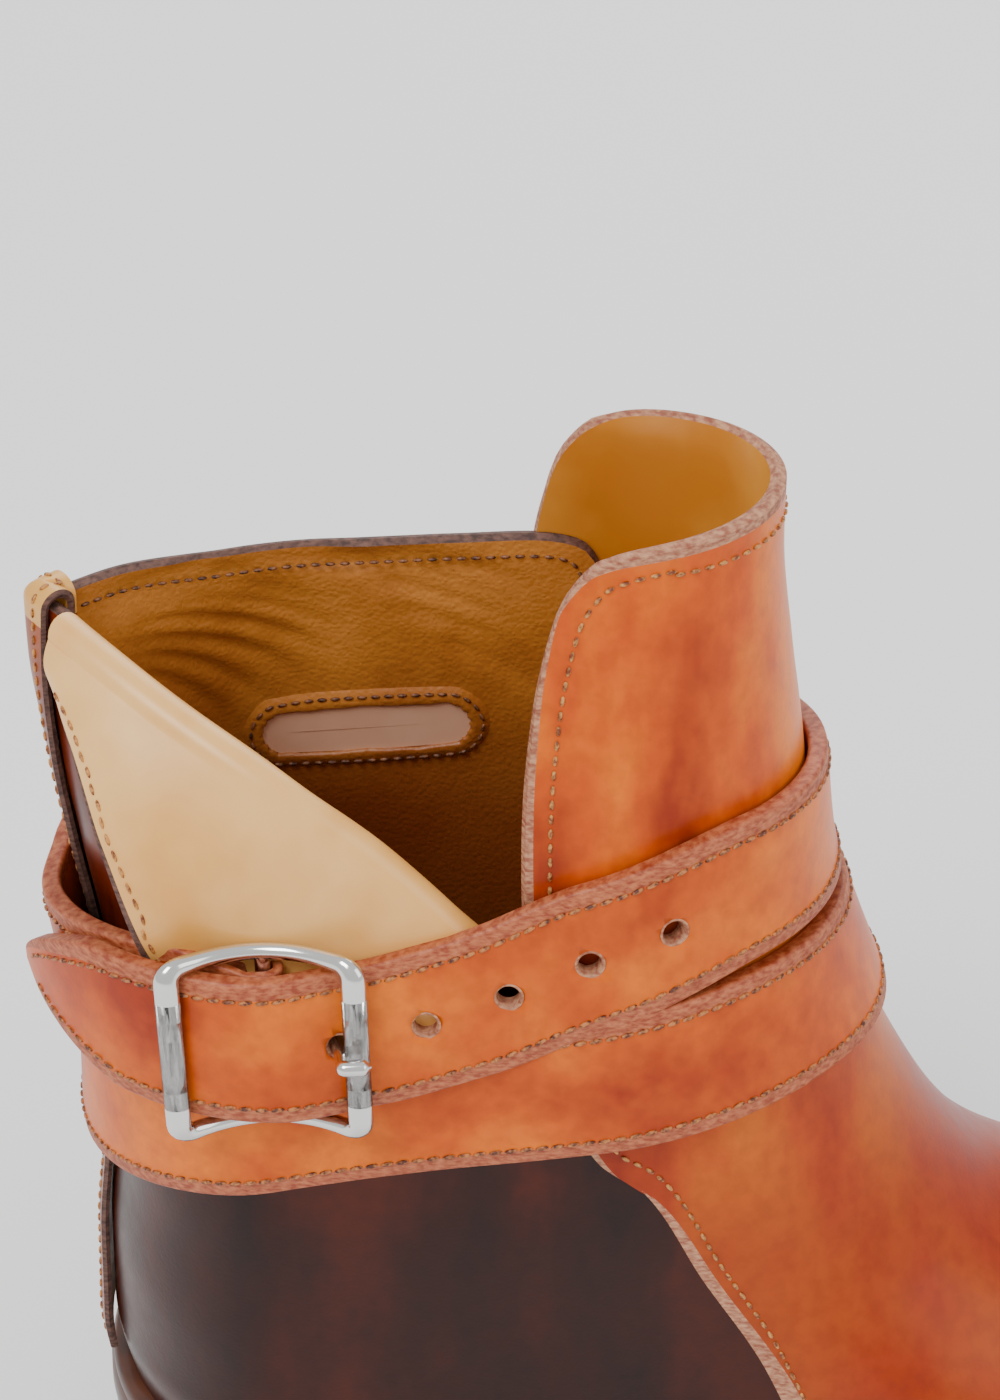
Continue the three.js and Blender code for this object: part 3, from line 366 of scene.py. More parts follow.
under_heel = column(UNDERSIDE, "along", "heel", LAST_LENGTH, HEEL_HEIGHT, LAST_START)
under_toe = column(UNDERSIDE, "along", "toe", LAST_LENGTH, TOE_SPRING, LAST_START)
plan_half = column(PLAN, "along", "half", LAST_LENGTH, BALL_WIDTH, LAST_START)
plan_centre = column(PLAN, "along", "centre", LAST_LENGTH, BALL_WIDTH, LAST_START)
plan_edge = column(PLAN, "along", "edge", LAST_LENGTH, WELT_EDGE, LAST_START)


def underside(x):
    """Height of the underside of the outsole."""
    return under_heel(x) + under_toe(x)


def sole_top(x):
    """Height of the top of the outsole."""
    return underside(x) + SOLE_THICKNESS


def welt_top(x):
    """Height of the top of the welt."""
    return sole_top(x) + FIT + WELT_THICKNESS


def feather(x):
    """Height of the lasted edge, where the upper meets the welt."""
    return welt_top(x) + FIT


SEAT = float(feather(LAST_START))
ridge_knots_x = np.concatenate(
    [LAST_START + FOOT_RIDGE["ahead"] * LAST_LENGTH, SHAFT_FRONT["ahead"] * SHAFT_DEPTH]
)
ridge_knots_z = np.concatenate([FOOT_RIDGE["up"] * INSTEP_RISE, SHAFT_FRONT["up"] * SHAFT_RISE])
ridge_knots_z[0] = feather(ridge_knots_x[0])
ridge_knots_round = np.concatenate([FOOT_RIDGE["round"], SHAFT_FRONT["round"]]) * BALL_WIDTH
ridge_steps = np.hypot(np.diff(ridge_knots_x), np.diff(ridge_knots_z))
ridge_runs = np.concatenate([[0], np.cumsum(ridge_steps)])
RIDGE_RUN = float(ridge_runs[-1])
ridge_x = curve(ridge_runs, ridge_knots_x)
ridge_z = curve(ridge_runs, ridge_knots_z)
ridge_round = curve(ridge_runs, ridge_knots_round)
RUN_SAMPLES = np.linspace(0, RIDGE_RUN, 4000)
RUN_X, RUN_Z = ridge_x(RUN_SAMPLES), ridge_z(RUN_SAMPLES)


def run_at_height(z):
    """How far along the ridge it has risen to z."""
    return np.interp(z, RUN_Z, RUN_SAMPLES)


def run_at_length(x):
    """How far along the ridge it has come back to x."""
    return np.interp(-np.asarray(x), -RUN_X, RUN_SAMPLES)


back_x = column(BACK_LINE, "up", "ahead", SHAFT_RISE, SHAFT_DEPTH)
back_round = column(BACK_LINE, "up", "round", SHAFT_RISE, BALL_WIDTH)
back_sharp = column(BACK_LINE, "up", "sharp", SHAFT_RISE)
slimness = column(SHAFT_SIDES, "up", "slim", SHAFT_RISE)


def shaft_share(z):
    """0 on the foot and 1 on the shaft."""
    return smooth(z, FOOT_BLEND * SHAFT_RISE, ANKLE_BLEND * SHAFT_RISE)


def centre_line(x, z):
    """Middle of the last, which leans to the inner side on the foot only."""
    return plan_centre(x) * (1 - shaft_share(z))


def widest(x, z):
    """Half width before the rounding: the plan's on the foot, the shaft's above it."""
    tuck = TUCK * (1 - np.clip((z - feather(x)) / TUCK_RISE, 0, 1)) ** 2
    shaft_half = lerp(ANKLE_WIDTH, COLLAR_WIDTH, slimness(z)) / 2
    return lerp(plan_half(x) + TUCK, shaft_half, shaft_share(z)) - tuck


def half_width(x, z):
    """Widest half, rounded off by a quarter ellipse towards the ridge, whose distance is the
    harmonic one of the ways ahead and up to it, and by another towards the back line."""
    level, above = run_at_height(z), run_at_length(x)
    ahead = np.maximum(0, ridge_x(level) - x)
    up = np.where(x <= RUN_X[-1], 1e6, np.maximum(0, ridge_z(above) - z))
    size = np.maximum(np.hypot(ahead, up), 1e-9)
    gap = ahead * up / size
    around = lerp(ridge_round(above), ridge_round(level), (up / size) ** 2)
    return widest(x, z) * nose(gap / around) * nose((x - back_x(z)) / back_round(z)) ** back_sharp(z)


def face_point(x, z, side):
    """A place of the surface from its side view; side is -1 for the outer side."""
    x, z, side = np.broadcast_arrays(np.asarray(x, float), np.asarray(z, float), np.asarray(side, float))
    return np.stack([x, centre_line(x, z) + side * half_width(x, z), z], axis=-1)


RING_TOP = 0.9
RING_EASE = 1.7
DIP_FADE = 0.6


def side_of(turn):
    """Side of a turn round the last: -1 for the first half, the outer side."""
    return np.where(np.mod(turn, 1) < 0.5, -1.0, 1.0)


def ring_point(q, turn):
    """Ring q from the back line to the ridge; turn goes round from the back by the outer side."""
    ahead = (1 - np.cos(2 * np.pi * turn)) / 2
    back_z = lerp(SEAT, RING_TOP * SHAFT_RISE, q**RING_EASE)
    x = lerp(back_x(back_z), ridge_x(q * RIDGE_RUN), ahead)
    edge_x = lerp(back_x(SEAT), ridge_x(0), ahead)
    dip = (feather(edge_x) - lerp(SEAT, ridge_z(0), ahead)) * np.clip(1 - q / DIP_FADE, 0, 1) ** 2
    return face_point(x, lerp(back_z, ridge_z(q * RIDGE_RUN), ahead) + dip, side_of(turn))


def level_point(turn, z):
    """Level section through the shaft at height z."""
    ahead = (1 - np.cos(2 * np.pi * turn)) / 2
    front = ridge_x(run_at_height(z))
    return face_point(lerp(back_x(z), front, ahead), z, side_of(turn))


TURN_STEP = 0.004
RING_STEP = 0.004
HEIGHT_STEP = 1.0


def level_face(turn, z, lift):
    """A place of the level section, lifted off along the surface's normal."""
    turn, z, lift = np.broadcast_arrays(turn, z, lift)
    along = level_point(turn + TURN_STEP, z) - level_point(turn - TURN_STEP, z)
    rise = level_point(turn, z + HEIGHT_STEP) - level_point(turn, z - HEIGHT_STEP)
    return level_point(turn, z) + unit(np.cross(along, rise)) * lift[..., None]


def outer_face(x, z, lift, side=-1.0):
    """A place over one side from its side view, lifted off along the normal."""
    x, z, lift = np.broadcast_arrays(np.asarray(x, float), np.asarray(z, float), np.asarray(lift, float))
    along = face_point(x + HEIGHT_STEP, z, side) - face_point(x - HEIGHT_STEP, z, side)
    rise = face_point(x, z + HEIGHT_STEP, side) - face_point(x, z - HEIGHT_STEP, side)
    normal = unit(np.cross(along, rise)) * -side
    return face_point(x, z, side) + normal * lift[..., None]


def edge_place(turn, grow, height):
    """The lasted edge moved out level by grow, at a height worked out from x."""
    turn, grow = np.broadcast_arrays(np.asarray(turn, float), np.asarray(grow, float))
    along = ring_point(RING_STEP, turn + TURN_STEP) - ring_point(RING_STEP, turn - TURN_STEP)
    rise = ring_point(2 * RING_STEP, turn) - ring_point(0, turn)
    normal = np.cross(along, rise)
    normal[..., 2] = 0
    place = ring_point(0, turn) + unit(normal) * grow[..., None]
    place[..., 2] = height(place[..., 0])
    return place


# Heel coordinates to the frame: the outsole's box gives the shift

CAD_TURNS = np.arange(56) / 56
cad_edge = edge_place(CAD_TURNS, plan_edge(ring_point(0, CAD_TURNS)[:, 0]), underside)
SHIFT = np.array(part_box("outsole")[0]) - np.array([*cad_edge[:, :2].min(axis=0), 0.0]) * MM
SHIFT[2] = 0


def to_frame(points):
    """Heel coordinates in millimetres to the frame in metres."""
    return np.asarray(points, float) * MM + SHIFT


# Meshes


def add_mesh(name, points, faces, materials, face_materials=None, sharp=50.0):
    """One object from millimetre points and polygon index rows, its faces turned outwards."""
    mesh = bpy.data.meshes.new(name)
    mesh.from_pydata(to_frame(points), [], [tuple(face) for face in faces])
    for material in materials:
        mesh.materials.append(material)
    if face_materials is not None:
        mesh.polygons.foreach_set("material_index", np.asarray(face_materials, np.int32))
    work = bmesh.new()
    work.from_mesh(mesh)
    bmesh.ops.remove_doubles(work, verts=work.verts, dist=1e-7)
    bmesh.ops.recalc_face_normals(work, faces=work.faces)
    work.to_mesh(mesh)
    work.free()
    mesh.polygons.foreach_set("use_smooth", np.ones(len(mesh.polygons), bool))
    mesh.set_sharp_from_angle(angle=np.radians(sharp))
    mesh.update()
    piece = bpy.data.objects.new(name, mesh)
    bpy.context.scene.collection.objects.link(piece)
    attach(piece, "root")
    return piece


def quads(rows, columns, start=0, ring_rows=False, ring_columns=False):
    """Index rows of the quads on a grid, which may close on itself."""
    i, j = np.meshgrid(
        np.arange(rows if ring_rows else rows - 1),
        np.arange(columns if ring_columns else columns - 1),
        indexing="ij",
    )
    i, j = i.ravel(), j.ravel()
    next_i, next_j = (i + 1) % rows, (j + 1) % columns
    corners = [i * columns + j, i * columns + next_j, next_i * columns + next_j, next_i * columns + j]
    return np.stack(corners, axis=-1) + start


def grid_normals(grid):
    """Unit normals of a grid of points, from the differences along its rows and columns."""
    return unit(np.cross(np.gradient(grid, axis=1), np.gradient(grid, axis=0)))


def sheet(name, skin, lining, materials, bulge=0.25, sharp=50.0, band=(0, 0, 0)):
    """A closed sheet between two equal grids, its raw edge slightly rounded. Materials are
    skin, lining and edge. band is how many columns at the start and the end and how many last
    rows of the skin show the skived raw edge as well."""
    rows, columns = skin.shape[:2]
    top, right = np.arange(columns), np.arange(1, rows) * columns + columns - 1
    bottom = (rows - 1) * columns + np.arange(columns - 2, -1, -1)
    left = np.arange(rows - 2, 0, -1) * columns
    rim = np.concatenate([top, right, bottom, left])
    flat_skin, flat_lining = skin.reshape(-1, 3), lining.reshape(-1, 3)
    inward = np.empty_like(skin)
    inward[1:-1, 1:-1] = 0
    inward[0], inward[-1] = skin[1] - skin[0], skin[-2] - skin[-1]
    inward[1:-1, 0], inward[1:-1, -1] = skin[1:-1, 1] - skin[1:-1, 0], skin[1:-1, -2] - skin[1:-1, -1]
    out = -unit(inward.reshape(-1, 3)[rim])
    thick = np.linalg.norm(flat_skin[rim] - flat_lining[rim], axis=-1, keepdims=True)
    edge = (flat_skin[rim] + flat_lining[rim]) / 2 + out * thick * bulge
    count, ring = rows * columns, np.arange(len(rim))
    after = np.roll(ring, -1)
    upper = np.stack([rim, rim[after], 2 * count + after, 2 * count + ring], axis=-1)
    lower = np.stack([2 * count + ring, 2 * count + after, count + rim[after], count + rim], axis=-1)
    faces = np.concatenate([quads(rows, columns), quads(rows, columns, count)[:, ::-1], upper, lower])
    area = (rows - 1) * (columns - 1)
    skin_slots = np.zeros((rows - 1, columns - 1))
    skin_slots[:, : band[0]] = skin_slots[:, columns - 1 - band[1] :] = skin_slots[rows - 1 - band[2] :] = 2
    slots = np.concatenate([skin_slots.ravel(), np.ones(area), np.full(2 * len(rim), 2)])
    points = np.concatenate([flat_skin, flat_lining, edge])
    return add_mesh(name, points, faces, materials, slots, sharp)


def tube(name, rows, materials, ring=False, slots=None, sharp=50.0):
    """Closed rows of points joined into a tube, with its ends capped unless it is a ring."""
    count, size = rows.shape[:2]
    faces = [*quads(count, size, ring_rows=ring, ring_columns=True)]
    kinds = [0] * len(faces) if slots is None else list(np.tile(slots, count if ring else count - 1))
    if not ring:
        faces += [np.arange(size)[::-1], (count - 1) * size + np.arange(size)]
        kinds += [0, 0]
    return add_mesh(name, rows.reshape(-1, 3), faces, materials, kinds, sharp)


def rod_rows(path, half, height, sides, up, ring=False):
    """Elliptical section carried along a path, its height along up."""
    path = np.asarray(path, float)
    if ring:
        along = unit(np.roll(path, -1, axis=0) - np.roll(path, 1, axis=0))
    else:
        along = unit(np.gradient(path, axis=0))
    across = unit(np.cross(np.broadcast_to(up, path.shape), along))
    rise = np.cross(along, across)
    angle = (np.arange(sides) + 0.5) / sides * 2 * np.pi
    half, height = np.broadcast_to(half, len(path)), np.broadcast_to(height, len(path))
    wide = across[:, None] * (half[:, None] * np.cos(angle))[..., None]
    tall = rise[:, None] * (height[:, None] * np.sin(angle))[..., None]
    return path[:, None] + wide + tall


def resample(path, pitch):
    """Even places along a polyline, with the polyline's share of length at each."""
    run = np.concatenate([[0], np.cumsum(np.linalg.norm(np.diff(path, axis=0), axis=1))])
    count = max(2, int(run[-1] / pitch))
    at = (np.arange(count) + 0.5) * run[-1] / count
    return at, run


# Stitches: pitch along the row, length and width in millimetres
STITCHES = {
    "vamp": (2.3, 1.7, 0.75),
    "flap": (2.6, 1.9, 0.7),
    "window": (2.2, 1.7, 0.7),
    "collar": (2.3, 1.7, 0.7),
    "backstay": (2.4, 1.8, 0.7),
    "strap": (2.4, 2.15, 0.8),
    "welt": (3.0, 2.3, 0.9),
}


def stitch_rows(name, paths, normals, size, material, lean=0.0):
    """Rows of stitches: each is a small ellipsoid lying along its path, sunk half into it, and
    turned by lean across it."""
    pitch, length, width = size
    around = np.linspace(0, 2 * np.pi, 6, endpoint=False)
    along = np.cos(np.linspace(0, np.pi, 5))[1:-1]
    girth = np.sqrt(1 - along**2)
    body = np.stack(
        [
            np.repeat(along, 6),
            np.outer(girth, np.cos(around)).ravel(),
            np.outer(girth, np.sin(around)).ravel(),
        ],
        axis=-1,
    )
    body = np.concatenate([[[1, 0, 0]], body, [[-1, 0, 0]]])
    loops = [[0, 1 + (k + 1) % 6, 1 + k] for k in range(6)]
    for low in (1, 7):
        loops += [[low + k, low + (k + 1) % 6, low + 6 + (k + 1) % 6, low + 6 + k] for k in range(6)]
    loops += [[19, 13 + k, 13 + (k + 1) % 6] for k in range(6)]
    points, faces, start = [], [], 0
    for path, normal in zip(paths, normals):
        at, run = resample(path, pitch)
        places = np.stack([np.interp(at, run, path[:, k]) for k in range(3)], axis=-1)
        up = unit(np.stack([np.interp(at, run, normal[:, k]) for k in range(3)], axis=-1))
        tangent = unit(np.gradient(places, axis=0))
        side = unit(np.cross(up, tangent))
        tangent = unit(tangent + side * lean)
        side = np.cross(up, tangent)
        solid = (
            places[:, None]
            + tangent[:, None] * body[None, :, :1] * length / 2
            + side[:, None] * body[None, :, 1:2] * width / 2
            + up[:, None] * body[None, :, 2:] * width / 2
        )
        points.append(solid.reshape(-1, 3))
        for i in range(len(places)):
            faces += [[start + 20 * i + corner for corner in loop] for loop in loops]
        start += 20 * len(places)
    piece = add_mesh(name, np.concatenate(points), faces, [material], sharp=180.0)
    return piece


# Finishes


def linear(hex_colour):
    """sRGB hex value to linear red, green, blue and alpha."""
    values = np.array([int(hex_colour[i : i + 2], 16) for i in (1, 3, 5)]) / 255
    rgb = np.where(values <= 0.04045, values / 12.92, ((values + 0.055) / 1.055) ** 2.4)
    return (*rgb.tolist(), 1.0)


def add_node(tree, kind, settings=None, inputs=None):
    """Adds one node: settings are its own properties, inputs are values or output sockets."""
    node = tree.nodes.new(kind)
    for key, value in (settings or {}).items():
        setattr(node, key, value)
    for key, value in (inputs or {}).items():
        if isinstance(value, bpy.types.NodeSocket):
            tree.links.new(value, node.inputs[key])
        else:
            node.inputs[key].default_value = value
    return node


def new_material(name):
    """A material with its tree, its shader and Object coordinates."""
    material = bpy.data.materials.new(name)
    material.use_nodes = True
    tree = material.node_tree
    shader = tree.nodes["Principled BSDF"]
    place = add_node(tree, "ShaderNodeTexCoord").outputs["Object"]
    return material, tree, shader, place


def ramp(tree, factor, stops):
    """Colour ramp through (place, hex) stops."""
    node = add_node(tree, "ShaderNodeValToRGB", inputs={"Fac": factor})
    elements = node.color_ramp.elements
    while len(elements) < len(stops):
        elements.new(0.5)
    for element, (place, colour) in zip(elements, stops):
        element.position = place
        element.color = linear(colour)
    return node.outputs["Color"]


def paint_shade_below(tree, place, colour, shade_colour, low, high, most):
    """Painted shade: mixes a darker colour in below a height in metres, most of it at low, none at high."""
    height = add_node(tree, "ShaderNodeSeparateXYZ", inputs={"Vector": place}).outputs["Z"]
    share = add_node(
        tree,
        "ShaderNodeMapRange",
        {"interpolation_type": "SMOOTHSTEP"},
        {"Value": height, "From Min": low, "From Max": high, "To Min": most, "To Max": 0.0},
    )
    mixed = add_node(
        tree,
        "ShaderNodeMix",
        {"data_type": "RGBA"},
        {"Factor": share.outputs["Result"], "A": colour, "B": linear(shade_colour)},
    )
    return mixed.outputs[2]


def patina(tree, place, size_mm, stretch, detail=4.0):
    """Cloudy value 0 to 1 whose clouds are about size_mm across, stretched along z."""
    scaled = add_node(tree, "ShaderNodeMapping", inputs={"Vector": place, "Scale": (1.0, 1.0, 1.0 / stretch)})
    noise = add_node(
        tree,
        "ShaderNodeTexNoise",
        inputs={
            "Vector": scaled.outputs["Vector"],
            "Scale": 1000 / size_mm,
            "Detail": detail,
            "Roughness": 0.55,
        },
    )
    return noise.outputs["Fac"]


def grain(tree, place, size_mm, depth_mm, strength, kind="pebble"):
    """Bump of leather grain: pebbles are Voronoi cells, pores are fine noise."""
    if kind == "pebble":
        warp = add_node(tree, "ShaderNodeTexNoise", inputs={"Vector": place, "Scale": 400 / size_mm})
        moved = add_node(
            tree,
            "ShaderNodeMix",
            {"data_type": "VECTOR"},
            {"Factor": 0.0012, "A": place, "B": warp.outputs["Color"]},
        )
        cells = add_node(
            tree,
            "ShaderNodeTexVoronoi",
            {"feature": "SMOOTH_F1"},
            {"Vector": moved.outputs[1], "Scale": 1000 / size_mm, "Smoothness": 0.6},
        )
        height = cells.outputs["Distance"]
        strength = -strength
    else:
        noise = add_node(
            tree, "ShaderNodeTexNoise", inputs={"Vector": place, "Scale": 1000 / size_mm, "Detail": 3.0}
        )
        height = noise.outputs["Fac"]
    invert = strength < 0
    bump = add_node(
        tree,
        "ShaderNodeBump",
        {"invert": invert},
        {"Strength": abs(strength), "Distance": depth_mm * MM, "Height": height},
    )
    return bump


def burnished_calf(name, deep, middle, light, size_mm=22.0, stretch=2.4, roughness=0.3, low=0.0):
    """Aniline calf, hand burnished: orange clouds over red-brown with a wax gloss on top. low is
    how much painted shade darkens the foot towards the deep tone."""
    material, tree, shader, place = new_material(name)
    clouds = patina(tree, place, size_mm, stretch)
    colour = ramp(tree, clouds, [(0.3, deep), (0.46, middle), (0.62, light)])
    # Painted shade: darker towards the foot and below the strap, mixed down to the deep tone.
    colour = paint_shade_below(tree, place, colour, deep, 0.085, 0.14, low)
    mottle = patina(tree, place, 3.0, 1.0)
    toned = add_node(
        tree,
        "ShaderNodeMix",
        {"data_type": "RGBA", "blend_type": "MULTIPLY"},
        {"Factor": 0.35, "A": colour, "B": ramp(tree, mottle, [(0.35, "#C9B8A8"), (0.6, "#FFFFFF")])},
    )
    tree.links.new(toned.outputs[2], shader.inputs["Base Color"])
    gloss = add_node(
        tree,
        "ShaderNodeMapRange",
        inputs={"Value": mottle, "To Min": roughness - 0.06, "To Max": roughness + 0.1},
    )
    tree.links.new(gloss.outputs["Result"], shader.inputs["Roughness"])
    pores = grain(tree, place, 0.7, 0.08, 0.35, "pores")
    waves = grain(tree, place, 9.0, 0.5, 0.12, "pores")
    tree.links.new(waves.outputs["Normal"], pores.inputs["Normal"])
    tree.links.new(pores.outputs["Normal"], shader.inputs["Normal"])
    shader.inputs["IOR"].default_value = 1.45
    shader.inputs["Specular IOR Level"].default_value = 0.25
    shader.inputs["Coat Weight"].default_value = 0.07
    shader.inputs["Coat Roughness"].default_value = 0.14
    return material


def pebbled_lining(name, deep, light):
    """Vegetable tanned lining calf with a tumbled grain of about 1 mm and a soft sheen."""
    material, tree, shader, place = new_material(name)
    clouds = patina(tree, place, 26.0, 1.4)
    colour = ramp(tree, clouds, [(0.32, deep), (0.64, light)])
    # Painted shade: the lining turns dark brown deeper down inside the shaft.
    colour = paint_shade_below(tree, place, colour, "#6E2C10", 0.12, 0.165, 0.85)
    cells = grain(tree, place, 0.9, 0.2, 0.6)
    waves = grain(tree, place, 7.0, 0.8, 0.22, "pores")
    tree.links.new(waves.outputs["Normal"], cells.inputs["Normal"])
    tree.links.new(cells.outputs["Normal"], shader.inputs["Normal"])
    tree.links.new(colour, shader.inputs["Base Color"])
    shader.inputs["Roughness"].default_value = 0.45
    shader.inputs["Coat Weight"].default_value = 0.1
    shader.inputs["Coat Roughness"].default_value = 0.35
    return material


def smooth_lining(name, deep, light):
    """Smooth natural lining calf, pale tan with soft clouds and a satin gloss."""
    material, tree, shader, place = new_material(name)
    clouds = patina(tree, place, 34.0, 1.2)
    colour = ramp(tree, clouds, [(0.34, deep), (0.62, light)])
    tree.links.new(colour, shader.inputs["Base Color"])
    pores = grain(tree, place, 1.6, 0.06, 0.3, "pores")
    tree.links.new(pores.outputs["Normal"], shader.inputs["Normal"])
    shader.inputs["Roughness"].default_value = 0.36
    shader.inputs["Coat Weight"].default_value = 0.15
    shader.inputs["Coat Roughness"].default_value = 0.25
    return material


def raw_edge(name, deep, light, roughness=0.7):
    """Cut leather edge: fibres show as short streaks, dull and slightly fuzzy."""
    material, tree, shader, place = new_material(name)
    fibres = patina(tree, place, 1.4, 0.4)
    tree.links.new(ramp(tree, fibres, [(0.35, deep), (0.65, light)]), shader.inputs["Base Color"])
    bump = grain(tree, place, 0.6, 0.15, 0.5, "pores")
    tree.links.new(bump.outputs["Normal"], shader.inputs["Normal"])
    shader.inputs["Roughness"].default_value = roughness
    return material


def polished_nickel(name):
    """Nickel plated steel, buffed: a bright warm mirror with faint wipe marks."""
    material, tree, shader, place = new_material(name)
    marks = patina(tree, place, 4.0, 0.3)
    dull = add_node(tree, "ShaderNodeMapRange", inputs={"Value": marks, "To Min": 0.08, "To Max": 0.2})
    tree.links.new(dull.outputs["Result"], shader.inputs["Roughness"])
    shader.inputs["Base Color"].default_value = linear("#D9D8D6")
    shader.inputs["Metallic"].default_value = 1.0
    return material


def waxed_thread(name, deep, light):
    """Waxed linen thread: its lighter patches are painted glints of light on the tops of its twisted plies.
    """
    material, tree, shader, place = new_material(name)
    ply_glints = patina(tree, place, 0.8, 1.0)
    tree.links.new(ramp(tree, ply_glints, [(0.38, deep), (0.6, light)]), shader.inputs["Base Color"])
    shader.inputs["Roughness"].default_value = 0.5
    return material


def stacked_leather(name, deep, light):
    """Heel and sole edge: layers of sole leather, stained and waxed, with faint level lines."""
    material, tree, shader, place = new_material(name)
    layers = add_node(tree, "ShaderNodeMapping", inputs={"Vector": place, "Scale": (0.12, 0.12, 1.0)})
    lines = add_node(
        tree, "ShaderNodeTexNoise", inputs={"Vector": layers.outputs["Vector"], "Scale": 900.0, "Detail": 2.0}
    )
    height = lines.outputs["Fac"]
    tree.links.new(ramp(tree, height, [(0.35, deep), (0.65, light)]), shader.inputs["Base Color"])
    bump = add_node(
        tree, "ShaderNodeBump", inputs={"Strength": 0.25, "Distance": 0.1 * MM, "Height": height}
    )
    tree.links.new(bump.outputs["Normal"], shader.inputs["Normal"])
    shader.inputs["Roughness"].default_value = 0.38
    shader.inputs["Coat Weight"].default_value = 0.2
    return material


def moulded_rubber(name):
    """Black moulded rubber, matt, with a fine cast grain."""
    material, tree, shader, place = new_material(name)
    bump = grain(tree, place, 0.8, 0.08, 0.4, "pores")
    tree.links.new(bump.outputs["Normal"], shader.inputs["Normal"])
    shader.inputs["Base Color"].default_value = linear("#1B1917")
    shader.inputs["Roughness"].default_value = 0.75
    return material


FINISHES = {}


def finish(key):
    """Each finish is made once, from the user's colours."""
    colours = bpy.context.scene.boot_colours
    makers = {
        "vamp": lambda: burnished_calf(
            "burnished_calf_vamp",
            colours.vamp_deep,
            "#C84E00",
            colours.vamp_light,
            roughness=0.36,
            low=0.8,
        ),
        # Painted shade: the quarter's dark red-brown is taken much darker still, for where it lies in shadow
        # behind the flap and under the strap.
        "quarter": lambda: burnished_calf("burnished_calf_quarter", "#1E0501", "#4A1202", "#7A2804", low=0.8),
        "strap": lambda: burnished_calf(
            "burnished_calf_strap",
            colours.strap_deep,
            "#C65000",
            colours.strap_light,
            size_mm=26.0,
            stretch=1.0,
            roughness=0.38,
        ),
        "vamp_lining": lambda: smooth_lining("yellow_lining_calf", "#C87A1E", "#DE9A38"),
        "lining": lambda: pebbled_lining("tumbled_lining_calf", colours.lining_deep, colours.lining_light),
        "flap": lambda: smooth_lining("smooth_lining_calf", "#DC9A44", colours.flap_light),
        "edge": lambda: raw_edge("cut_calf_edge", "#8A4A34", "#BE8A68"),
        "dark_edge": lambda: raw_edge("dark_cut_edge", "#3E2620", "#6E4C40"),
        "strap_edge": lambda: raw_edge("red_strap_edge", "#8A3412", "#B86840", 0.55),
        "backstay": lambda: burnished_calf("burnished_calf_backstay", "#4A1604", "#7A2C06", "#A04A0C"),
        "tab": lambda: smooth_lining("smooth_tab_calf", "#C07A20", "#DCA24A"),
        "window": lambda: smooth_lining("pale_window_calf", "#D8A282", "#E8BC9E"),
        "nickel": lambda: polished_nickel("polished_nickel"),
        "strap_thread": lambda: waxed_thread("red_waxed_thread", "#4A1A0A", "#B87038"),
        "dark_thread": lambda: waxed_thread("dark_waxed_thread", "#3A1E14", "#8A5A3A"),
        "light_thread": lambda: waxed_thread("tan_waxed_thread", "#6A2C0C", "#C88A48"),
        "heel": lambda: stacked_leather("waxed_stacked_leather", "#2A1209", "#47210F"),
        "sole": lambda: smooth_lining("oak_bark_sole_leather", "#A87848", "#C4945E"),
        "welt": lambda: stacked_leather("waxed_welt_leather", "#34180C", "#552A14"),
        "rubber": lambda: moulded_rubber("moulded_rubber"),
    }
    if key not in FINISHES:
        FINISHES[key] = makers[key]()
    return FINISHES[key]


# Upper


def coons(left, right, bottom, top, u, v):
    """Patch between four side view lines: the sum of the two ruled patches less the bilinear
    one through the corners. u runs along bottom and top, v up left and right."""
    u, v = np.meshgrid(u, v)
    lines_v = lerp(left(v), right(v), u[..., None])
    lines_u = lerp(bottom(u), top(u), v[..., None])
    ends = [line(np.array(end)) for line in (bottom, top) for end in (0.0, 1.0)]
    corners = lerp(lerp(ends[0], ends[1], u[..., None]), lerp(ends[2], ends[3], u[..., None]), v[..., None])
    return lines_v + lines_u - corners


def lasted_line(start, end):
    """The lasted edge in side view between two x."""

    def at(share):
        x = lerp(start, end, share)
        return np.stack([x, feather(x)], axis=-1)

    return at


def back_edge(top):
    """The quarter's edge along the back line, up to a height."""
    def at(share):
        z = lerp(SEAT, top, share)
        return np.stack([back_x(z), z], axis=-1)

    return at


def front_lap(end):
    """The quarter's hidden front edge: the vamp's rear edge moved ahead by the lap."""
    below = VAMP_REAR["up"] < end["up"][-1] - 0.01
    ahead = np.concatenate([VAMP_REAR["ahead"][below] + FRONT_LAP, end["ahead"][-1:]])
    up = np.concatenate([VAMP_REAR["up"][below], end["up"][-1:]])
    up[0] = feather(ahead[0] * SHAFT_DEPTH) / SHAFT_RISE
    return side_line({"ahead": ahead, "up": up})


# Creases of the slack far side, as the lining shows them: a fan from the back top corner.
# start and end in side view as above, depth and width in millimetres
CREASES = table(
    "ahead up end_ahead end_up depth width",
    (0.02, 0.842, 0.3, 0.815, 1.3, 1.3),
    (0.03, 0.832, 0.34, 0.79, 1.5, 1.5),
    (0.04, 0.82, 0.36, 0.765, 1.4, 1.4),
    (0.05, 0.806, 0.34, 0.74, 1.5, 1.5),
    (0.05, 0.79, 0.3, 0.715, 1.3, 1.4),
    (0.06, 0.775, 0.25, 0.685, 1.2, 1.4),
    (0.06, 0.758, 0.2, 0.66, 1.0, 1.3),
    (0.1, 0.845, 0.45, 0.832, 0.9, 1.3),
    (0.16, 0.836, 0.5, 0.81, 1.0, 1.4),
    (0.34, 0.838, 0.6, 0.8, 0.9, 1.5),
    (0.4, 0.842, 0.64, 0.815, 0.8, 1.4),
    (0.4, 0.815, 0.63, 0.77, 0.9, 1.6),
    (0.44, 0.79, 0.64, 0.74, 0.7, 1.6),
    (0.5, 0.76, 0.66, 0.71, 0.6, 1.6),
)


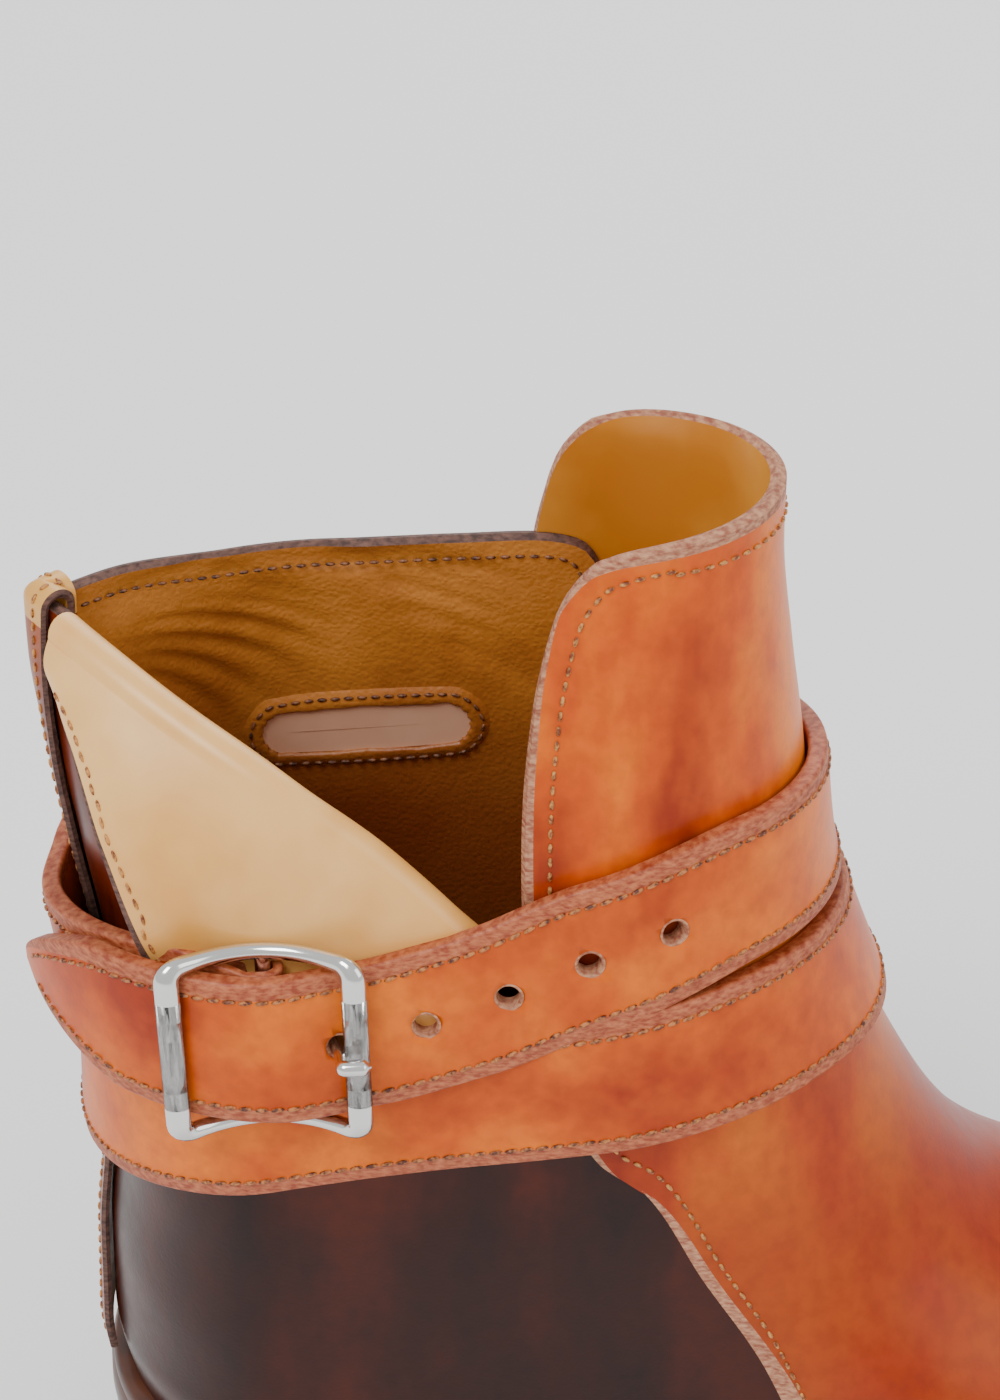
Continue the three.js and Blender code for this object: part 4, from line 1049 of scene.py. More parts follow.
def crease_depth(x, z):
    """Sum of soft troughs along short lines, each fading towards its ends."""
    depth = np.zeros(np.shape(x))
    for row in zip(*CREASES.values()):
        start = np.array([row[0] * SHAFT_DEPTH, row[1] * SHAFT_RISE])
        end = np.array([row[2] * SHAFT_DEPTH, row[3] * SHAFT_RISE])
        way = end - start
        length = np.hypot(*way)
        way = way / length
        along = (x - start[0]) * way[0] + (z - start[1]) * way[1]
        bow = 0.06 * length * np.sin(np.pi * np.clip(along / length, 0, 1))
        across = (z - start[1]) * way[0] - (x - start[0]) * way[1] - bow
        fade = smooth(along, -2.0, 0.2 * length) * (1 - smooth(along, 0.5 * length, length + 3))
        depth = depth + row[4] * fade * np.exp(-((across / row[5]) ** 2))
    return depth


def quarter_sides(columns, rows):
    """Side view grids of both quarters, from the back seam forward."""
    u, v = 1 - np.cos(np.linspace(0, 1, columns) * np.pi / 2), np.linspace(0, 1, rows)
    grids = []
    for top in (OUTER_FOLD, INNER_COLLAR):
        right = front_lap(top)
        bottom = lasted_line(back_x(SEAT), right(np.array(0.0))[0])
        left = back_edge(top["up"][0] * SHAFT_RISE)
        start = np.array([back_x(top["up"][0] * SHAFT_RISE), top["up"][0] * SHAFT_RISE])

        def top_edge(share, line=side_line(top), start=start):
            return np.where(np.asarray(share)[..., None] <= 0, start, line(share))

        grid = coons(left, right, bottom, top_edge, u, v)
        grid[..., 0] = np.maximum(grid[..., 0], back_x(grid[..., 1]))
        grids.append(grid)
    return grids


def add_quarters():
    """Both quarters as one sheet round the back: outer side reversed, then inner side."""
    outer, inner = quarter_sides(90, 110)
    left = face_point(outer[..., 0], outer[..., 1], -1.0)[:, ::-1]
    right = face_point(inner[..., 0], inner[..., 1], 1.0)
    skin = np.concatenate([left, right[:, 1:]], axis=1)
    normal = grid_normals(skin)
    if (normal[:, -20, 1]).mean() < 0:
        normal = -normal
    middle = left.shape[1] - 1
    for part, view, side in ((slice(middle, None), inner, 1.0), (slice(middle, None, -1), outer, -1.0)):
        x, z = view[..., 0], view[..., 1]
        own = outer_face(x, z, 1.0, side) - face_point(x, z, side)
        share = smooth(x - back_x(z), *SEAM_BLEND)[..., None]
        normal[:, part] = unit(lerp(normal[:, part], own, share))
    depth = np.zeros(skin.shape[:2])
    depth[:, left.shape[1] :] = crease_depth(inner[:, 1:, 0], inner[:, 1:, 1])
    lining = skin - normal * (WALL - depth * 0.85)[..., None]
    skin = skin + normal * (depth * 0.12)[..., None]
    centre = centre_line(skin[..., 0], skin[..., 2])
    kept = PINCH * (skin[..., 1] - centre)
    crossed = (lining[..., 1] - centre) * kept < kept * kept
    lining[..., 1] = np.where(crossed, centre + kept, lining[..., 1])
    piece = sheet("quarters", skin, lining, [finish("quarter"), finish("lining"), finish("dark_edge")])
    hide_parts("upper")
    return piece


def vamp_side(columns, rows):
    """Side view grid of one side of the vamp, from its rear edge to the ridge."""
    spread, v = np.cos(np.linspace(1, 0, columns) * np.pi / 2), np.linspace(0, 1, rows)
    foot = feather(VAMP_REAR["ahead"][0] * SHAFT_DEPTH) / SHAFT_RISE
    rear = side_line({"ahead": VAMP_REAR["ahead"], "up": np.concatenate([[foot], VAMP_REAR["up"][1:]])})
    top_run = run_at_height(VAMP_TOP["up"][-1] * SHAFT_RISE)

    def ridge(share):
        return np.stack([ridge_x(share * top_run), ridge_z(share * top_run)], axis=-1)

    bottom = lasted_line(VAMP_REAR["ahead"][0] * SHAFT_DEPTH, ridge_x(0))
    top_line = side_line(VAMP_TOP)
    end = ridge(np.array(1.0))

    def top(share):
        places = top_line(share)
        return places + (end - top_line(np.array(1.0))) * np.asarray(share)[..., None]

    return coons(rear, ridge, bottom, top, spread, v)


def vamp_grid():
    """Grid of the vamp over the ridge from rear edge to rear edge, and its normals."""
    side = vamp_side(80, 190)
    left = face_point(side[..., 0], side[..., 1], -1.0)
    right = face_point(side[..., 0], side[..., 1], 1.0)[:, ::-1]
    ridge_y = centre_line(side[:, -1:, 0], side[:, -1:, 1])
    left[:, -1:, 1] = ridge_y
    face = np.concatenate([left, right[:, 1:]], axis=1)
    normal = grid_normals(face)
    if normal[100, 5, 1] > 0:
        normal = -normal
    return face, normal


# The side rows of stitches and the row over the ridge meet this far ahead on the top line
STITCH_MEET = 0.8
COLLAR_ROW = 0.9


def add_vamp():
    """The one piece vamp, over the ridge from rear edge to rear edge, with its stitching."""
    face, normal = vamp_grid()
    skin, lining = face + normal * VAMP_RAISE, face - normal * VAMP_LAP
    materials = [finish("vamp"), finish("vamp_lining"), finish("edge")]
    piece = sheet("vamp", skin, lining, materials, band=(2, 2, 1))
    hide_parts("upper")
    # A row of stitches 3.6 mm in from the rear edge and the top line
    inset = 3.6
    paths, normals = [], []
    whole = {name: np.concatenate([VAMP_REAR[name], VAMP_TOP[name][1:]]) for name in VAMP_REAR}
    line = side_line(whole)(np.linspace(0.05, 1, 900))
    line = line[(line[:, 0] < STITCH_MEET * SHAFT_DEPTH) | (line[:, 1] < COLLAR_ROW * SHAFT_RISE)]
    slope = unit(np.gradient(line, axis=0))
    x, z = line[:, 0] + slope[:, 1] * inset, line[:, 1] - slope[:, 0] * inset
    for side in (-1.0, 1.0):
        paths.append(outer_face(x, z, VAMP_RAISE + 0.1, side))
        normals.append(paths[-1] - face_point(x, z, side))
    drop = np.cumsum(np.linalg.norm(np.diff(skin[::-1], axis=0), axis=2), axis=0)
    index = len(skin) - 1 - (np.argmax(drop > inset, axis=0) + 1)
    columns = np.arange(skin.shape[1])
    columns = columns[skin[index, columns, 0] > STITCH_MEET * SHAFT_DEPTH]
    paths.append(skin[index[columns], columns] + normal[index[columns], columns] * 0.1)
    normals.append(normal[index[columns], columns])
    thread = finish("light_thread")
    stitches = stitch_rows("vamp_stitches", paths, normals, STITCHES["vamp"], thread)
    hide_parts("upper")
    return piece


def flap_grid(count=90):
    """The turned flap: leather rolled over its crest and hanging outside, at mid thickness."""
    t = np.linspace(0, 1, count)
    along = np.linspace(0, 1, len(FLAP["up"]))
    at = {name: curve(along, values)(t) for name, values in FLAP.items()}
    roll = FOLD_ROLL * WALL
    crest = np.stack([at["crest_ahead"] * SHAFT_DEPTH, at["crest_up"] * SHAFT_RISE], axis=-1)
    edge = np.stack([at["ahead"] * SHAFT_DEPTH, at["up"] * SHAFT_RISE], axis=-1)
    length = np.linalg.norm(edge - crest, axis=-1)
    down = (edge - crest) / length[:, None]
    stand = at["stand"] * WALL + WALL / 2
    angle = np.linspace(0, np.pi, 13)
    share = np.linspace(0, 1, 26)[1:]
    roll_run, roll_lift = -roll * np.sin(angle), -WALL / 2 + roll * (1 - np.cos(angle))
    start = -WALL / 2 + 2 * roll
    root = np.full((count, 1), roll * (FOLD_ROOT + 0.9))
    run = np.concatenate([root, np.tile(roll_run, (count, 1)), length[:, None] * share], axis=1)
    hang = lerp(start, stand[:, None], share) + FLAP_SWELL * WALL * np.sin(np.pi * share)
    lift = np.concatenate([np.full((count, 1), -WALL / 2), np.tile(roll_lift, (count, 1)), hang], axis=1)
    step_run, step_lift = np.gradient(run, axis=1), np.gradient(lift, axis=1)
    size = np.hypot(step_run, step_lift)
    half = np.full(run.shape, WALL * 0.47)
    half[:, 0] = WALL * 0.27
    grids = []
    for face in (1, -1):
        off_run = run - face * half * step_lift / size
        off_lift = lift + face * half * step_run / size
        x = crest[:, :1] + down[:, :1] * off_run
        z = crest[:, 1:] + down[:, 1:] * off_run
        grids.append(outer_face(x, z, off_lift))
    return grids


def add_flap():
    """The outer quarter's turned part, lining side out, with the row along its free edge."""
    out, under = flap_grid()
    materials = [finish("flap"), finish("quarter"), finish("dark_edge")]
    piece = sheet("quarter_flap", out, under, materials, band=(0, 1, 0))
    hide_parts("upper")
    normal = grid_normals(out)
    toward = out - under
    normal = np.where((normal * toward).sum(axis=-1, keepdims=True) < 0, -normal, normal)
    reach = np.cumsum(np.linalg.norm(np.diff(out[:, ::-1], axis=1), axis=2), axis=1)
    index = out.shape[1] - 1 - (np.argmax(reach > 2.6, axis=1) + 1)
    rows = np.arange(len(out))[4:-24]
    path = out[rows, index[rows]] + normal[rows, index[rows]] * 0.05
    facing = [normal[rows, index[rows]]]
    row = stitch_rows("flap_stitches", [path], facing, STITCHES["flap"], finish("light_thread"))
    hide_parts("upper")
    return piece


# Label window in the inner quarter's lining, centre and sizes in millimetres

WINDOW_CENTRE = (44.5, 142.6)
WINDOW_TILT = 0.13
WINDOW_LENGTH = 36.0
WINDOW_HEIGHT = 9.6
# Rim's section: grown beyond the opening and height over the lining, in millimetres
WINDOW_RIM = ((0.0, -0.2), (0.0, 0.75), (0.35, 0.95), (1.2, 0.9), (2.6, 0.4), (3.4, -0.1), (3.0, -0.4))


def window_place(grow, share, lift):
    """Stadium outline round the window's middle, grown by grow, on the lining."""
    straight = (WINDOW_LENGTH - WINDOW_HEIGHT) / 2
    radius = WINDOW_HEIGHT / 2 + grow
    angle = share * 2 * np.pi
    x = np.clip(np.cos(angle) * 3.0, -1, 1) * straight + radius * np.cos(angle)
    z = radius * np.sin(angle)
    along = WINDOW_CENTRE[0] + x * np.cos(WINDOW_TILT) - z * np.sin(WINDOW_TILT)
    up = WINDOW_CENTRE[1] + x * np.sin(WINDOW_TILT) + z * np.cos(WINDOW_TILT)
    return outer_face(along, up, -WALL - lift, side=1.0)


def add_window():
    """Cut-out of the lining: a pale leaf of leather inside a low rim, and a stitched border."""
    share = np.linspace(0, 1, 96, endpoint=False)
    ragged = 0.18 * np.sin(share * 2 * np.pi * 17) + 0.12 * np.sin(share * 2 * np.pi * 41 + 1.0)
    half, spread = WINDOW_HEIGHT / 2, np.linspace(0.02, 1, 9)
    loops = [window_place(-half * (1 - k), share, 0.25) for k in spread]
    back = [window_place(-half * (1 - k), share, -0.3) for k in spread[::-1]]
    leaf = tube("window_leaf", np.array(loops + back), [finish("window")], sharp=60.0)
    rim_rows = []
    for grow, height in WINDOW_RIM:
        rim_rows.append(window_place(grow + ragged * (grow < 0.5), share, height))
    rim = tube("window_rim", np.array(rim_rows).transpose(1, 0, 2), [finish("lining")], ring=True, sharp=60.0)
    around = np.append(share, share[0])
    path = window_place(2.1, around, 0.75)
    facing = [unit(path - window_place(2.1, around, -0.4))]
    row = stitch_rows("window_stitches", [path], facing, STITCHES["window"], finish("dark_thread"))
    for piece in (leaf, rim, row):
        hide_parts("upper")


def add_collar_stitches():
    """The dark row below the inner collar, seen on the lining."""
    line = side_line(INNER_COLLAR)(np.linspace(0.03, 0.8, 260))
    x, z = line[:, 0], line[:, 1]
    slope = unit(np.stack([np.gradient(x), np.gradient(z)], axis=-1))
    x, z = x + slope[:, 1] * 3.2, z - slope[:, 0] * 3.2
    path = outer_face(x, z, -WALL - 0.1, side=1.0)
    facing = unit(path - outer_face(x, z, -WALL + 1.0, side=1.0))
    thread = finish("dark_thread")
    row = stitch_rows("collar_stitches", [path], [facing], STITCHES["collar"], thread)
    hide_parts("upper")


# Backstay


# Shares of its half width that the tab keeps inside the sharp back seam
TAB_PINCH = 0.12
TAB_DEPTH = 0.25


def backstay_rows():
    """Outer and inner face of the strip, from its foot over the collar to the tab."""
    collar = INNER_COLLAR["up"][1] * SHAFT_RISE
    foot = SEAT + TUCK_RISE / 2
    outside = BACKSTAY_GAP + BACKSTAY_THICKNESS / 2
    inside = -WALL - outside
    radius = (outside - inside) / 2
    share = np.linspace(0, 1, 60)
    angle = np.linspace(0, np.pi, 16)[1:-1]
    turned_z = collar + FIT + radius * np.sin(angle) * 0.9
    z = np.concatenate([lerp(foot, collar, share), turned_z, collar - TAB_DROP * np.linspace(0, 1, 10)])
    foot_lift = outside + 2 * BACKSTAY_GAP * (1 - share) ** 8
    lift = np.concatenate([foot_lift, -WALL / 2 + radius * np.cos(angle), np.full(10, inside)])
    rise, out = np.gradient(z), np.gradient(lift)
    size = np.hypot(rise, out)
    across = np.linspace(-1, 1, 15) * BACKSTAY_WIDTH / 2
    grids = []
    reach = widest(0, z) * np.pi * np.sqrt(2 * SHAFT_DEPTH / back_round(z))
    for face in (1, -1):
        off_z = z - face * BACKSTAY_THICKNESS / 2 * out / size
        off_lift = lift + face * BACKSTAY_THICKNESS / 2 * rise / size
        turn = -across[None] / reach[:, None]
        grid = level_face(turn, off_z[:, None], off_lift[:, None])
        base = level_point(turn, off_z[:, None])
        centre = centre_line(base[..., 0], base[..., 2])
        share = TAB_PINCH - TAB_DEPTH * np.maximum(-1, off_lift[:, None] / inside - 1)
        kept = share * (base[..., 1] - centre)
        crossed = (off_lift[:, None] < 0) & ((grid[..., 1] - centre) * kept < kept * kept)
        grid[..., 1] = np.where(crossed, centre + kept, grid[..., 1])
        grids.append(grid)
    return grids


def add_backstay():
    """Strip over the back seam with its end turned over the collar, stitched at both sides."""
    skin, under = backstay_rows()
    piece = sheet("back_strip", skin, under, [finish("backstay"), finish("tab"), finish("dark_edge")])
    tab = np.zeros(len(piece.data.polygons), np.int32)
    piece.data.polygons.foreach_get("material_index", tab)
    centres = np.zeros(len(tab) * 3)
    piece.data.polygons.foreach_get("center", centres)
    turned = centres.reshape(-1, 3)[:, 2] > (INNER_COLLAR["up"][1] * SHAFT_RISE - 3.0) * MM
    tab[(tab == 0) & turned] = 1
    piece.data.polygons.foreach_set("material_index", tab)
    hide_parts("backstay")
    normals = unit(skin - under)
    paths = [skin[:-12, k] + normals[:-12, k] * 0.05 for k in (2, -3)]
    facing = [normals[:-12, k] for k in (2, -3)]
    thread = finish("light_thread")
    row = stitch_rows("back_strip_stitches", paths, facing, STITCHES["backstay"], thread)
    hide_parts("backstay")


# Strap

STRAP_REST = BACKSTAY_GAP + BACKSTAY_THICKNESS + 1.5 * FIT
strap_centre = column(STRAP, "turn", "up", 1, SHAFT_RISE)
strap_higher = column(STRAP, "turn", "lift", 1, STRAP_THICKNESS)
strap_thick = column(STRAP, "turn", "thick", 1, STRAP_THICKNESS)


def as_arrays(*values):
    """The values as float arrays of one common shape."""
    return np.broadcast_arrays(*[np.asarray(value, float) for value in values])


def strap_place(turn, across, out):
    """A place in the strap: across from -1, the lower edge, to 1, and out from its inner face."""
    turn, across, out = as_arrays(turn, across, out)
    z = strap_centre(turn)
    gap = np.linalg.norm(level_point(-turn, z + HEIGHT_STEP) - level_point(-turn, z - HEIGHT_STEP), axis=-1)
    half = STRAP_WIDTH / 2 * 2 * HEIGHT_STEP / gap
    return level_face(-turn, z + across * half, STRAP_REST + strap_higher(turn) + out)


STRAP_TURNS = np.linspace(STRAP["turn"][0], STRAP["turn"][-1], 601)
strap_middle = strap_place(STRAP_TURNS, 0, STRAP_THICKNESS / 2)
STRAP_RUNS = np.concatenate([[0], np.cumsum(np.linalg.norm(np.diff(strap_middle, axis=0), axis=1))])
STRAP_LENGTH = float(STRAP_RUNS[-1])
BAR_RUN = float(np.interp(BAR_TURN, STRAP_TURNS, STRAP_RUNS))


def turn_at(run):
    """Turn at a length along the strap's middle."""
    return np.interp(run, STRAP_RUNS, STRAP_TURNS)


# Buckle axes

BUCKLE_END = (BUCKLE_LENGTH - BAR_WIDTH) / 2
BUCKLE_REACH = STRAP_WIDTH / 2 + 4 * FIT + SIDE_WIDTH / 2
BUCKLE_CORNER = 2.2
over_strap = STRAP_THICKNESS + 3 * FIT + BAR_THICKNESS / 2
front_bar = strap_place(turn_at(BAR_RUN - BUCKLE_END), 0, over_strap)
rear_bar = strap_place(turn_at(BAR_RUN + BUCKLE_END), 0, over_strap)
bar_seat = strap_place(BAR_TURN, 0, -FIT - STRAP_SKIVED - FIT - PIN_DIAMETER / 2)
buckle_along = unit(front_bar - rear_bar)
buckle_out = unit(np.cross(buckle_along, strap_place(BAR_TURN, 1, 0) - strap_place(BAR_TURN, -1, 0)))
buckle_across = np.cross(buckle_out, buckle_along)
BAR_SINK = float((front_bar - bar_seat) @ buckle_out)


def buckle_place(along, across, out):
    """A place on the axes of the buckle, from the middle of its centre bar."""
    along, across, out = (value[..., None] for value in as_arrays(along, across, out))
    return bar_seat + along * buckle_along + across * buckle_across + out * buckle_out


def strap_section(corner=0.7, count=5):
    """Rounded rectangle as across, out, in shares and millimetres, upper half crowned."""
    angle = np.linspace(0, np.pi / 2, count)
    x, y = corner * np.cos(angle), corner * np.sin(angle)
    half, top = STRAP_WIDTH / 2, STRAP_THICKNESS
    flat = np.linspace(half - corner, corner - half, 13)[1:-1]
    crown = 0.25 * (1 - (flat / half) ** 2)
    right, left = half - corner + x, corner - half - x
    across = np.concatenate([right, flat, left[::-1], left, flat[::-1], right[::-1]])
    high, low = top - corner + y, corner - y
    out = np.concatenate([high, top + crown * 0.4, high[::-1], low, np.zeros(len(flat)), low[::-1]])
    edge = np.abs(across) > half - corner * 1.02
    return across / half, out, edge


def add_strap():
    """The long strap from its fold round the centre bar to its pointed tip, with its holes."""
    across, out, edge = strap_section()
    tip = STRAP_LENGTH - TIP_LENGTH * (1 - np.linspace(0, 1, 26)[1:] ** 0.6)
    run = np.concatenate([np.linspace(0, STRAP_LENGTH - TIP_LENGTH, 330), tip])
    turn = turn_at(run)
    width = np.sqrt(np.clip((STRAP_LENGTH - run) / TIP_LENGTH, 0, 1)) * 0.98 + 0.02
    thick = strap_thick(turn) / STRAP_THICKNESS
    rows = strap_place(turn[:, None], width[:, None] * across[None], thick[:, None] * out[None])
    radius = PIN_DIAMETER / 2 + FIT + STRAP_SKIVED / 2
    angle = np.linspace(-np.pi / 2, np.pi / 2, 14)
    along = np.concatenate([np.linspace(-TURNED_LENGTH, -radius, 8), radius * np.cos(angle), [-radius]])
    lift = np.concatenate([np.full(8, -radius), radius * np.sin(angle), [radius]])
    size = np.hypot(np.maximum(0, along), lift)
    facing_along, facing_out = np.maximum(0, along) / size, lift / size
    off = (out / STRAP_THICKNESS - 0.5) * STRAP_SKIVED
    fold = buckle_place(
        along[:, None] + facing_along[:, None] * off[None],
        across[None] * STRAP_WIDTH / 2 + 0 * along[:, None],
        lift[:, None] + facing_out[:, None] * off[None],
    )
    kinds = (edge | np.roll(edge, -1)).astype(int)
    materials = [finish("strap"), finish("strap_edge")]
    piece = tube("strap_leather", np.concatenate([fold, rows]), materials, slots=kinds)
    first = BAR_RUN - PRONG_REACH * BUCKLE_LENGTH
    rims = []
    for k in range(HOLE_COUNT):
        at = turn_at(first - k * HOLE_PITCH)
        inner, outer = strap_place(at, 0, -2.0), strap_place(at, 0, STRAP_THICKNESS + 2.0)
        cutter_rows = rod_rows([inner, outer], HOLE_DIAMETER / 2, HOLE_DIAMETER / 2, 28, (0, 0, 1))
        cutter = tube("hole_cutter", cutter_rows, [finish("strap_edge")])
        cut = piece.modifiers.new("hole", "BOOLEAN")
        cut.operation, cut.object, cut.solver = "DIFFERENCE", cutter, "EXACT"
        bpy.context.view_layer.objects.active = piece
        bpy.ops.object.modifier_apply(modifier=cut.name)
        bpy.data.objects.remove(cutter, do_unlink=True)
        low, high = strap_place(at, 0, 0.2), strap_place(at, 0, STRAP_THICKNESS + 0.16)
        rims.append((low, high))
    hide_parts("strap")
    for k, (low, high) in enumerate(rims):
        along = unit(high - low)
        side = unit(np.cross(along, (0, 0, 1.0)))
        rise = np.cross(along, side)
        turn_round = np.linspace(0, 2 * np.pi, 32, endpoint=False)
        ring = side * np.cos(turn_round)[:, None] + rise * np.sin(turn_round)[:, None]
        reach = HOLE_DIAMETER / 2
        profile = (
            (reach + 0.02, low),
            (reach - 0.28, low),
            (reach - 0.3, high - along * 0.3),
            (reach - 0.05, high),
            (reach + 0.22, high - along * 0.08),
            (reach + 0.1, high - along * 0.5),
        )
        rows = np.stack([ring * size_mm + place for size_mm, place in profile], axis=1)
        rim = tube(f"hole_rim_{k + 1}", rows, [finish("edge")], ring=True)
        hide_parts("strap")
    # Two rows of stitches, 2.6 mm in from both edges, that meet round the tip
    inset = 1 - 2.6 / (STRAP_WIDTH / 2)
    runs = np.linspace(8.0, STRAP_LENGTH - 4.0, 700)
    turns = turn_at(runs)
    widths = np.sqrt(np.clip((STRAP_LENGTH - 2.5 - runs) / TIP_LENGTH, 0, 1)) * 0.98
    paths, normals = [], []
    for edge_side in (1, -1):
        place = edge_side * np.minimum(inset, widths * inset)
        path = strap_place(turns, place, strap_thick(turns) + 0.1)
        under = strap_place(turns, place, 0)
        paths.append(path)
        normals.append(unit(path - under))
    thread = finish("strap_thread")
    row = stitch_rows("strap_stitches", paths, normals, STITCHES["strap"], thread, 0.12)
    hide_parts("strap")


def add_buckle():
    """Nickel frame bowed out from its centre bar, and the prong with its rounded tip."""
    end, corner = BUCKLE_END, BUCKLE_CORNER
    along, across = [], []
    for sign_x, sign_y in ((1, 1), (-1, 1), (-1, -1), (1, -1)):
        start = np.arctan2(sign_y, sign_x) - np.pi / 4
        angle = start + np.linspace(0, np.pi / 2, 9)
        along += list(sign_x * (end - corner) + corner * np.cos(angle))
        across += list(sign_y * (BUCKLE_REACH - corner) + corner * np.sin(angle))
        if sign_x == sign_y:
            between = sign_y * np.linspace(end - corner, corner - end, 19)[1:-1]
            along += list(between)
            across += [sign_y * BUCKLE_REACH] * len(between)
        else:
            between = -sign_y * np.linspace(BUCKLE_REACH - corner, corner - BUCKLE_REACH, 9)[1:-1]
            along += [sign_x * end] * len(between)
            across += list(between)
    along, across = np.array(along), np.array(across)
    path = buckle_place(along, across, BAR_SINK * (along / end) ** 2)
    wide = lerp(SIDE_WIDTH, BAR_WIDTH, np.clip(np.abs(along) / end, 0, 1) ** 8) / 2
    rows = rod_rows(path, wide, BAR_THICKNESS / 2, 20, buckle_out, ring=True)
    frame_piece = tube("buckle_metal", rows, [finish("nickel")], ring=True, sharp=180.0)
    path = buckle_place(0, np.linspace(-BUCKLE_REACH, BUCKLE_REACH, 5), 0)
    bar = rod_rows(path, PIN_DIAMETER / 2, PIN_DIAMETER / 2, 20, buckle_out)
    bar_piece = tube("buckle_centre_bar", bar, [finish("nickel")])
    for piece in (frame_piece, bar_piece):
        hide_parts("buckle_frame")
    start = PIN_DIAMETER / 2 + FIT + STRAP_SKIVED + PIN_DIAMETER / 2
    hole = PRONG_REACH * BUCKLE_LENGTH
    rest = BAR_SINK + BAR_THICKNESS / 2 + 5 * FIT + PIN_DIAMETER / 2
    knots_along = [start, lerp(start, hole, 0.75), hole - 1.2, hole - 0.2, end - 1.6, end + 1, end + 2.4]
    flat = -PIN_DIAMETER / 4
    knots_out = [flat, flat, rest * 0.25, rest * 0.75, rest + FIT / 2, rest, rest - 0.2]
    shares = [0.6, 0.65, 0.65, 0.7, 1.0, 1.05, 0.15]
    knots = np.arange(len(shares), dtype=float)
    t = np.linspace(0, 6, 61)
    size = curve(knots, shares)(t) * PIN_DIAMETER / 2
    middle = buckle_place(curve(knots, knots_along)(t), 0, curve(knots, knots_out)(t))
    rows = rod_rows(middle, size, size, 20, buckle_across)
    prong = tube("buckle_pin", rows, [finish("nickel")], sharp=180.0)
    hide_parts("buckle_prong")


# Sole


def rim_plate(name, node, materials, profile, slots):
    """A plate whose rim profile is carried round the lasted edge: profile rows are grow beyond
    the lasted edge and height over x. The two faces are strips across the foot."""
    turns = (1 - np.cos(np.linspace(0, 1, 121) * np.pi)) / 4
    rows = []
    for grow, height in profile:
        reach = grow(ring_point(0, turns)[:, 0])
        rows.append((edge_place(turns, reach, height), edge_place(-turns, reach, height)))
    loop = [row[0] for row in rows] + [row[1] for row in rows[::-1]]
    piece = tube(name, np.stack(loop, axis=1), materials, slots=slots)
    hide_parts(node)
    return piece


def add_sole():
    """Outsole with softened edges, the welt with its stitches, and the insole."""
    outsole = (
        (lambda x: plan_edge(x) - 1.0, underside),
        (lambda x: plan_edge(x) - 0.2, lambda x: underside(x) + 0.35),
        (plan_edge, lambda x: underside(x) + 1.2),
        (plan_edge, lambda x: sole_top(x) - 0.9),
        (lambda x: plan_edge(x) - 0.5, sole_top),
    )
    kinds = [1, 1, 1, 1, 1, 1, 1, 1, 1, 0]
    rim_plate("outsole_leather", "outsole", [finish("sole"), finish("welt")], outsole, kinds)
    inner = -WALL - 5 * FIT
    insole = (
        (lambda x: inner + 0 * x, lambda x: sole_top(x) + FIT),
        (lambda x: inner + 0 * x, lambda x: feather(x) + INSOLE_THICKNESS - 0.5),
        (lambda x: inner - 0.5 + 0 * x, lambda x: feather(x) + INSOLE_THICKNESS),
    )
    rim_plate("insole_leather", "insole", [finish("flap")], insole, [0] * 6)
    turns = np.linspace(0, 1, 240, endpoint=False)
    reach = plan_edge(ring_point(0, turns)[:, 0]) - 0.4
    low, high = (lambda x: sole_top(x) + FIT), welt_top
    section = (
        (reach, lambda x: low(x)),
        (reach, lambda x: high(x) - 0.8),
        (reach - 0.7, high),
        (0 * reach - WALL - FIT, high),
        (0 * reach - WALL - FIT, lambda x: low(x)),
    )
    rows = np.stack([edge_place(turns, grow, height) for grow, height in section], axis=1)
    welt = tube("welt_leather", rows, [finish("welt")], ring=True)
    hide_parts("welt")
    around = np.linspace(0.17, 0.83, 700)
    inset = plan_edge(ring_point(0, around)[:, 0]) * 0.5
    path = edge_place(around, inset, lambda x: welt_top(x) + 0.1)
    up = np.tile((0.0, 0.0, 1.0), (len(path), 1))
    row = stitch_rows("welt_stitches", [path], [up], STITCHES["welt"], finish("light_thread"))
    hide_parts("welt")


def heel_loop(inset, z, steps=60):
    """Outline of a heel layer: round the heel's edge, then back along the hollow breast."""
    breast_turn = np.arccos(1 - 2 * BREAST) / (2 * np.pi)
    turns = np.linspace(breast_turn, -breast_turn, 2 * steps + 1)
    edge = edge_place(turns, plan_edge(ring_point(0, turns)[:, 0]) - inset, lambda x: z + 0 * x)
    share = np.linspace(0, 1, 26)[1:-1]
    breast = lerp(edge[-1], edge[0], share[:, None])
    breast[:, 0] -= BREAST_HOLLOW * 4 * share * (1 - share)
    return np.concatenate([edge, breast])


def add_heel():
    """Three stacked lifts and the rubber top piece, each layer slightly smaller downwards."""
    lift = (HEEL_HEIGHT - TOP_PIECE_THICKNESS) / LIFT_COUNT

    def inset(z):
        return 0.3 + 0.5 * (HEEL_HEIGHT - z) / lift

    layers = [
        (f"heel_lift_{i + 1}", HEEL_HEIGHT - (i + 1) * lift, HEEL_HEIGHT - i * lift, "heel")
        for i in range(LIFT_COUNT)
    ]
    layers.append(("top_piece", 0.0, TOP_PIECE_THICKNESS, "rubber"))
    for node, low, high, kind in layers:
        soft = 0.25
        rows = [
            heel_loop(inset(low) + soft, low),
            heel_loop(inset(low), low + soft),
            heel_loop(inset(high), high - soft),
            heel_loop(inset(high) + soft, high),
        ]
        piece = tube(f"{node}_layer", np.array(rows), [finish(kind)], sharp=60.0)
        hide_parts(node)


# Camera, light and floor

